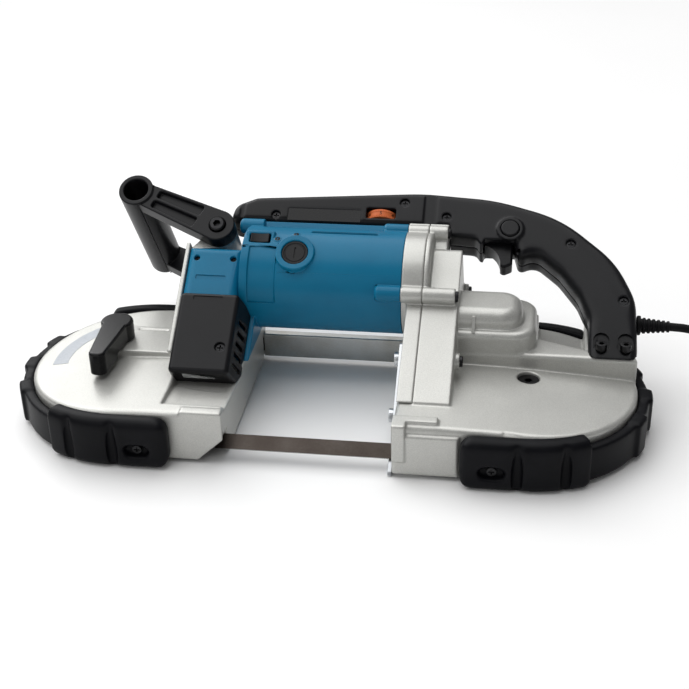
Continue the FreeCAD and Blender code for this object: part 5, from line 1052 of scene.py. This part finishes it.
def make_dial_numbers():
    """Raised speed numbers round the dial's band."""
    work = bmesh.new()
    reach = dial_radius - dial_knurl
    for number in range(1, dial_numbers + 1):
        text = bpy.data.curves.new("number", "FONT")
        text.body = str(number)
        text.size = number_size
        text.align_x = "CENTER"
        text.align_y = "CENTER"
        text.extrude = number_rise
        drawn = add("number", text)
        mesh = shown_mesh(drawn)
        turn = spin((dial_shown - number) * dial_step, "Y")
        mesh.transform(lean(*dial_place) @ turn @ move(0, 0, reach))
        work.from_mesh(mesh)
        bpy.data.meshes.remove(mesh)
        bpy.data.objects.remove(drawn)
    finish_piece(made_piece("dial_numbers", work), body_of("speed_dial"), "black_plastic")


# Cord fittings
def make_strain_relief():
    """Tapered ribbed sleeve where the cord leaves the handle."""
    work = bmesh.new()
    collar = relief_radius + relief_collar / 2
    inside = relief_radius - rib_depth / 2
    edge = rib_depth / 2
    profile = [(inside, -2 * relief_collar), (inside, 0), (collar - edge, 0), (collar, edge),
               (collar, relief_collar - edge), (collar - edge, relief_collar)]
    pitch = (relief_length - relief_collar) / relief_ribs
    for index in range(relief_ribs):
        share = index / (relief_ribs - 1)
        radius = relief_radius + share * (relief_neck_radius - relief_radius)
        start = relief_collar + index * pitch
        profile += [(radius - rib_depth, start + edge), (radius - rib_depth, start + pitch * rib_low_share),
                    (radius, start + pitch * rib_high_share), (radius, start + pitch - edge / 2)]
    profile.append((relief_neck_radius - edge, relief_length))
    turned(work, profile, facing(move(*relief_start), "Y", quarter_turn))
    piece = made_piece("ribbed_sleeve", work)
    stand_for(piece, "strain_relief", "cord_rubber")
    return piece


def make_tie():
    """Strap round the coil's bundle."""
    inner = coil_inner_radius - cord_diameter / 2 - tie_room
    outer = coil_inner_radius + coil_turn_step * coil_spiral_turns + cord_diameter / 2 + tie_room
    high = coil_top_z + cord_diameter / 2 + tie_room
    low = high - (coil_layers - 1) * coil_layer_step - cord_diameter - 2 * tie_room
    middle = move((inner + outer) / 2, (low + high) / 2, 0)
    turn = spin(tie_angle, "Z") @ spin(quarter_turn, "X")
    place = move(*coil_centre, 0) @ turn @ middle
    rounding = tie_thickness * tie_round_share
    edge = tie_width / 2
    work = bmesh.new()
    fronts, backs = [], []
    for depth, half in ((0, edge - rounding), (rounding, edge), (tie_thickness - rounding, edge),
                        (tie_thickness, edge - rounding)):
        width, height = outer - inner + 2 * depth, high - low + 2 * depth
        outline = rounded_outline(width, height, cord_diameter / 2 + depth)
        fronts.append(ring(work, outline, -half, place))
        backs.append(ring(work, outline, half, place))
    stack(work, fronts + backs[::-1], True)
    piece = made_piece("tie_strap", work)
    stand_for(piece, "cord_tie", "rubber")
    return piece


def make_plug():
    """Moulded two-pin plug: a sleeve on the cord, a waist to hold and a flat face."""
    place = move(*tail_end) @ spin(plug_angle, "Z") @ spin(quarter_turn, "Y")
    work = bmesh.new()
    rings = []
    for along, width, height, lift in plug_sections:
        outline = rounded_outline(height, width, plug_round_share * min(height, width))
        rings.append(ring(work, outline, along, place @ move(-lift * plug_lift, 0, 0)))
    stack(work, rings)
    body = made_piece("moulded_plug", work)
    stand_for(body, "plug", "cord_rubber")
    work = bmesh.new()
    face = plug_sections[-1][0]
    profile = [(pin_radius, -pin_radius)]
    profile += [(pin_radius * share, pin_length - pin_radius * drop) for share, drop in pin_tip_shares]
    for side in (-1, 1):
        turned(work, profile, place @ move(-plug_lift, side * pin_spacing / 2, face))
    pins = made_piece("plug_pins", work)
    finish_piece(pins, "frame", "steel")
    return [body, pins]


# Wheels and brushes
def make_tyre(name, side):
    """Flat rubber tyre with eased edges."""
    work = bmesh.new()
    high, low = wheel_high - tyre_round, wheel_low + tyre_round
    eased = tyre_outer_radius - tyre_round
    profile = [(tyre_inner_radius, wheel_low), (eased, wheel_low), (tyre_outer_radius, low),
               (tyre_outer_radius, high), (eased, wheel_high), (tyre_inner_radius, wheel_high)]
    turned(work, profile, upright(side * wheel_x, 0, 0), 2 * turned_steps, True)
    stand_for(made_piece(name + "_band", work), name, "rubber")


def make_brush_caps():
    """Screwed caps over the two brushes, each with a raised edge, a dish and a coin slot."""
    work, slots = bmesh.new(), bmesh.new()
    edge = brush_slot_depth / 2
    profile = [(brush_cap_radius, brush_cap_top - brush_cap_depth), (brush_cap_radius, brush_cap_top - edge),
               (brush_cap_radius - edge, brush_cap_top)]
    profile += [(brush_cap_radius * share, brush_cap_top - edge * drop) for share, drop in brush_dish_shares]
    length, width = brush_slot
    slot = rounded_outline(width, length, width * brush_slot_round_share)
    for angle in (0, half_turn):
        place = facing(lean(brush_x, motor_v, motor_w), "X", angle)
        turned(work, profile, place)
        sunk(slots, slot, brush_slot_depth, place @ move(0, 0, brush_cap_top))
    piece = made_piece("slotted_caps", work)
    carve(piece, slots)
    stand_for(piece, "brush_caps", "black_plastic")


# Blank panels and marks
def plate_recess(x, v, w, width, height):
    work = bmesh.new()
    sunk(work, rounded_outline(width, height, plate_sink), plate_sink, lean(x, v, w))
    return work


def vent_recess():
    work = bmesh.new()
    length, height = vent_size
    sunk(work, rounded_outline(length, height, height / 2), vent_depth, on_barrel(vent_x, vent_angle))
    return work


def make_dome_rib():
    """Small cast web between the two tiers of the dome."""
    work = bmesh.new()
    across = Matrix(((0, 0, 1, 0), (1, 0, 0, 0), (0, 1, 0, 0), (0, 0, 0, 1)))
    prism(work, dome_rib, *dome_rib_x, upright(0, 0, 0) @ across)
    finish_piece(made_piece("dome_rib", work), "frame", "silver")


def handle_recess():
    """Small hole by the button, and the pockets over the two screws in the foot."""
    work = bmesh.new()
    back = ring_outline(pocket_radius, turned_steps)[:turned_steps // 2 + 1]
    pocket = back + [(-pocket_radius, -pocket_reach), (pocket_radius, -pocket_reach)]
    for head in foot_heads:
        prism(work, pocket, pocket_low_w, pocket_high_w, lean(head[0], pocket_v, 0))
    sunk(work, ring_outline(handle_hole_radius, turned_steps), handle_hole_depth, lean(*handle_hole))
    return work


def make_handle_panel():
    """Bare panel in the shallow recess of the handle."""
    left, right, low, high = handle_panel
    work = bmesh.new()
    outline = rounded_outline(right - left - 2 * panel_margin, high - low - 2 * panel_margin, panel_thickness)
    prism(work, outline, -panel_thickness / 2, panel_thickness,
          lean((left + right) / 2, (low + high) / 2, handle_panel_w))
    finish_piece(made_piece("handle_panel", work), "frame", "gloss_black")


def make_label(carrier):
    """Bare arc-shaped label, laid on the left housing's roof."""
    corners = [vertex.co for vertex in carrier.data.vertices]
    tree = BVHTree.FromPolygons(corners, [face.vertices for face in carrier.data.polygons])
    work = bmesh.new()
    rows = []
    for row in range(label_rows + 1):
        radius = label_radii[0] + row / label_rows * (label_radii[1] - label_radii[0])
        tops, lows = [], []
        for step in range(label_steps + 1):
            x, y = polar(radius, label_angles[0] + step / label_steps * (label_angles[1] - label_angles[0]))
            hit = tree.ray_cast(Vector((x - wheel_x, y + origin_y, 1)), Vector((0, 0, -1)))[0]
            tops.append(work.verts.new(hit + Vector((0, 0, label_rise))))
            lows.append(work.verts.new(hit - Vector((0, 0, label_rise))))
        rows.append(tops + lows[::-1])
    for before, after in zip(rows, rows[1:]):
        join_rings(work, before, after)
    for row in (rows[0], rows[-1]):
        for step in range(label_steps):
            work.faces.new((row[step], row[step + 1], row[-step - 2], row[-step - 1]))
    finish_piece(made_piece("blank_label", work), "frame", "label")


# Cord
def coil_place(turns):
    layer_turns = coil_spiral_turns + coil_climb_turns
    layer = min(int(turns / layer_turns), coil_layers - 1)
    rest = turns - layer * layer_turns
    spiral = min(rest, coil_spiral_turns)
    climb = max(rest - coil_spiral_turns, 0) / coil_climb_turns
    wide = coil_inner_radius + coil_turn_step * coil_spiral_turns
    inward = layer % 2 == 0
    radius = wide - coil_turn_step * spiral if inward else coil_inner_radius + coil_turn_step * spiral
    height = coil_top_z - coil_layer_step * (layer + ease(climb))
    x, y = polar(radius, coil_start_angle - full_turn * turns)
    return coil_centre[0] + x, coil_centre[1] + y, height


def make_cord():
    """One spline: out of the strain relief, down into the put-away coil and on to the plug."""
    turns = coil_layers * coil_spiral_turns + (coil_layers - 1) * coil_climb_turns
    steps = int(turns * coil_points_per_turn)
    points = [cord_exit, *cord_route]
    points += [coil_place(step / coil_points_per_turn) for step in range(steps + 1)]
    points.append(tail_end)
    curve = bpy.data.curves.new("supply_cord", "CURVE")
    curve.dimensions = "3D"
    curve.bevel_depth = cord_diameter / 2
    curve.bevel_resolution = cord_round_steps
    curve.resolution_u = cord_spline_steps
    curve.use_fill_caps = True
    spline = curve.splines.new("NURBS")
    spline.points.add(len(points) - 1)
    for point, place in zip(spline.points, points):
        point.co = (*place, 1)
    spline.order_u = cord_spline_order
    spline.use_endpoint_u = True
    curve.materials.append(looks["cord_rubber"])
    piece = add("supply_cord", curve)
    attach(piece, "frame")
    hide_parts("cord", "cord_coil")
    return piece


# Camera, light and floor
def make_camera():
    data = bpy.data.cameras.new("photo_camera")
    data.sensor_width = camera_sensor
    data.lens = camera_focal_pixels / photo_pixels * camera_sensor
    data.clip_start = camera_near
    camera = add("photo_camera", data)
    turn = spin(camera_azimuth, "Z") @ spin(quarter_turn - camera_elevation, "X") @ spin(camera_roll, "Z")
    camera.matrix_world = move(*camera_target) @ turn @ move(0, 0, camera_distance)
    bpy.context.scene.camera = camera


def lamp(name, kind, power, place, target=(0, 0, 0)):
    """Light that shines from a place towards a target."""
    data = bpy.data.lights.new(name, kind)
    data.energy = power
    piece = add(name, data)
    piece.location = place
    piece.rotation_euler = (Vector(target) - Vector(place)).to_track_quat("-Z", "Y").to_euler()
    return data


def make_studio():
    """Soft even light from a wide ceiling, and a small softbox in front and behind."""
    lamp("ceiling_light", "SUN", sun_strength, sun_way).angle = math.radians(sun_angle)
    lamp("front_light", "AREA", front_power, front_place, lamp_target).size = front_size
    lamp("back_light", "AREA", back_power, back_place, lamp_target).size = back_size
    world = bpy.data.worlds.new("studio")
    world.use_nodes = True
    bpy.context.scene.world = world
    sky = world.node_tree.nodes["Background"]
    sky.inputs["Color"].default_value = (1, 1, 1, 1)
    sky.inputs["Strength"].default_value = sky_strength
    bpy.context.scene.view_settings.view_transform = "Standard"


def make_floor():
    sides = ((-1, -1), (1, -1), (1, 1), (-1, 1))
    mesh = bpy.data.meshes.new("floor")
    mesh.from_pydata([(x * floor_reach, y * floor_reach, 0) for x, y in sides], [], [(0, 1, 2, 3)])
    floor = add("floor", mesh)
    made, tree, shader = new_material("pale_floor", *floor_base)
    tint(tree, shader, noise(tree, *floor_cloud), floor_colours)
    mesh.materials.append(made)


make_camera()
make_studio()
make_floor()
cord = make_cord()
fittings = [make_strain_relief(), make_tie(), *make_plug()]
castings = [soft_skin(name, "silver", casting_voxel, casting_passes, casting_keep_share)
            for name in ("left_frame", "right_frame", "gear_cover")]
for name, side in (("left_bumper", -1), ("right_bumper", 1)):
    soft_skin(name, "rubber", rubber_voxel, rubber_passes, rubber_keep_share, pad_cutters(side),
              flute_cutter(side))
handle_skin("handle_front", handle_recess())
handle_skin("handle_back")
make_dome_rib()
for name, look, width in edge_rounds:
    edge_skin(name, look, width)
edge_skin("motor_housing", "teal", housing_edge, None, vent_recess())
edge_skin("trigger", "black_plastic", trigger_edge, finger_hollow())
edge_skin("controller_cover", "teal", housing_edge, plate_recess(*cover_plate))
edge_skin("lamp_box", "black_plastic", housing_edge, plate_recess(*lamp_plate))
make_screws()
make_proud_heads()
make_small_screws()
make_blade()
make_dial()
make_dial_numbers()
make_tyre("drive_tyre", 1)
make_tyre("idler_tyre", -1)
make_brush_caps()
make_handle_panel()
make_label(castings[0])
paints = {
    "silver": ("bearing_carrier",),
    "steel": ("gear_train_bearings", "idler_axle", "wheel_gear", "upright_shaft", "bevel_gear",
              "second_shaft", "armature_shaft", "left_inner_roller", "left_outer_roller",
              "right_inner_roller", "right_outer_roller", "tension_cam", "idler_carriage"),
    "iron_core": ("armature_core", "stator_core"),
    "copper": ("commutator", "field_coils", "brush_holders"),
    "black_plastic": ("cooling_fan", "speed_controller", "trigger_switch"),
    "lens": ("lamp_lens",),
    "lamp": ("lamp_tube",),
}
for look, names in paints.items():
    for name in names:
        paint_node(name, look)
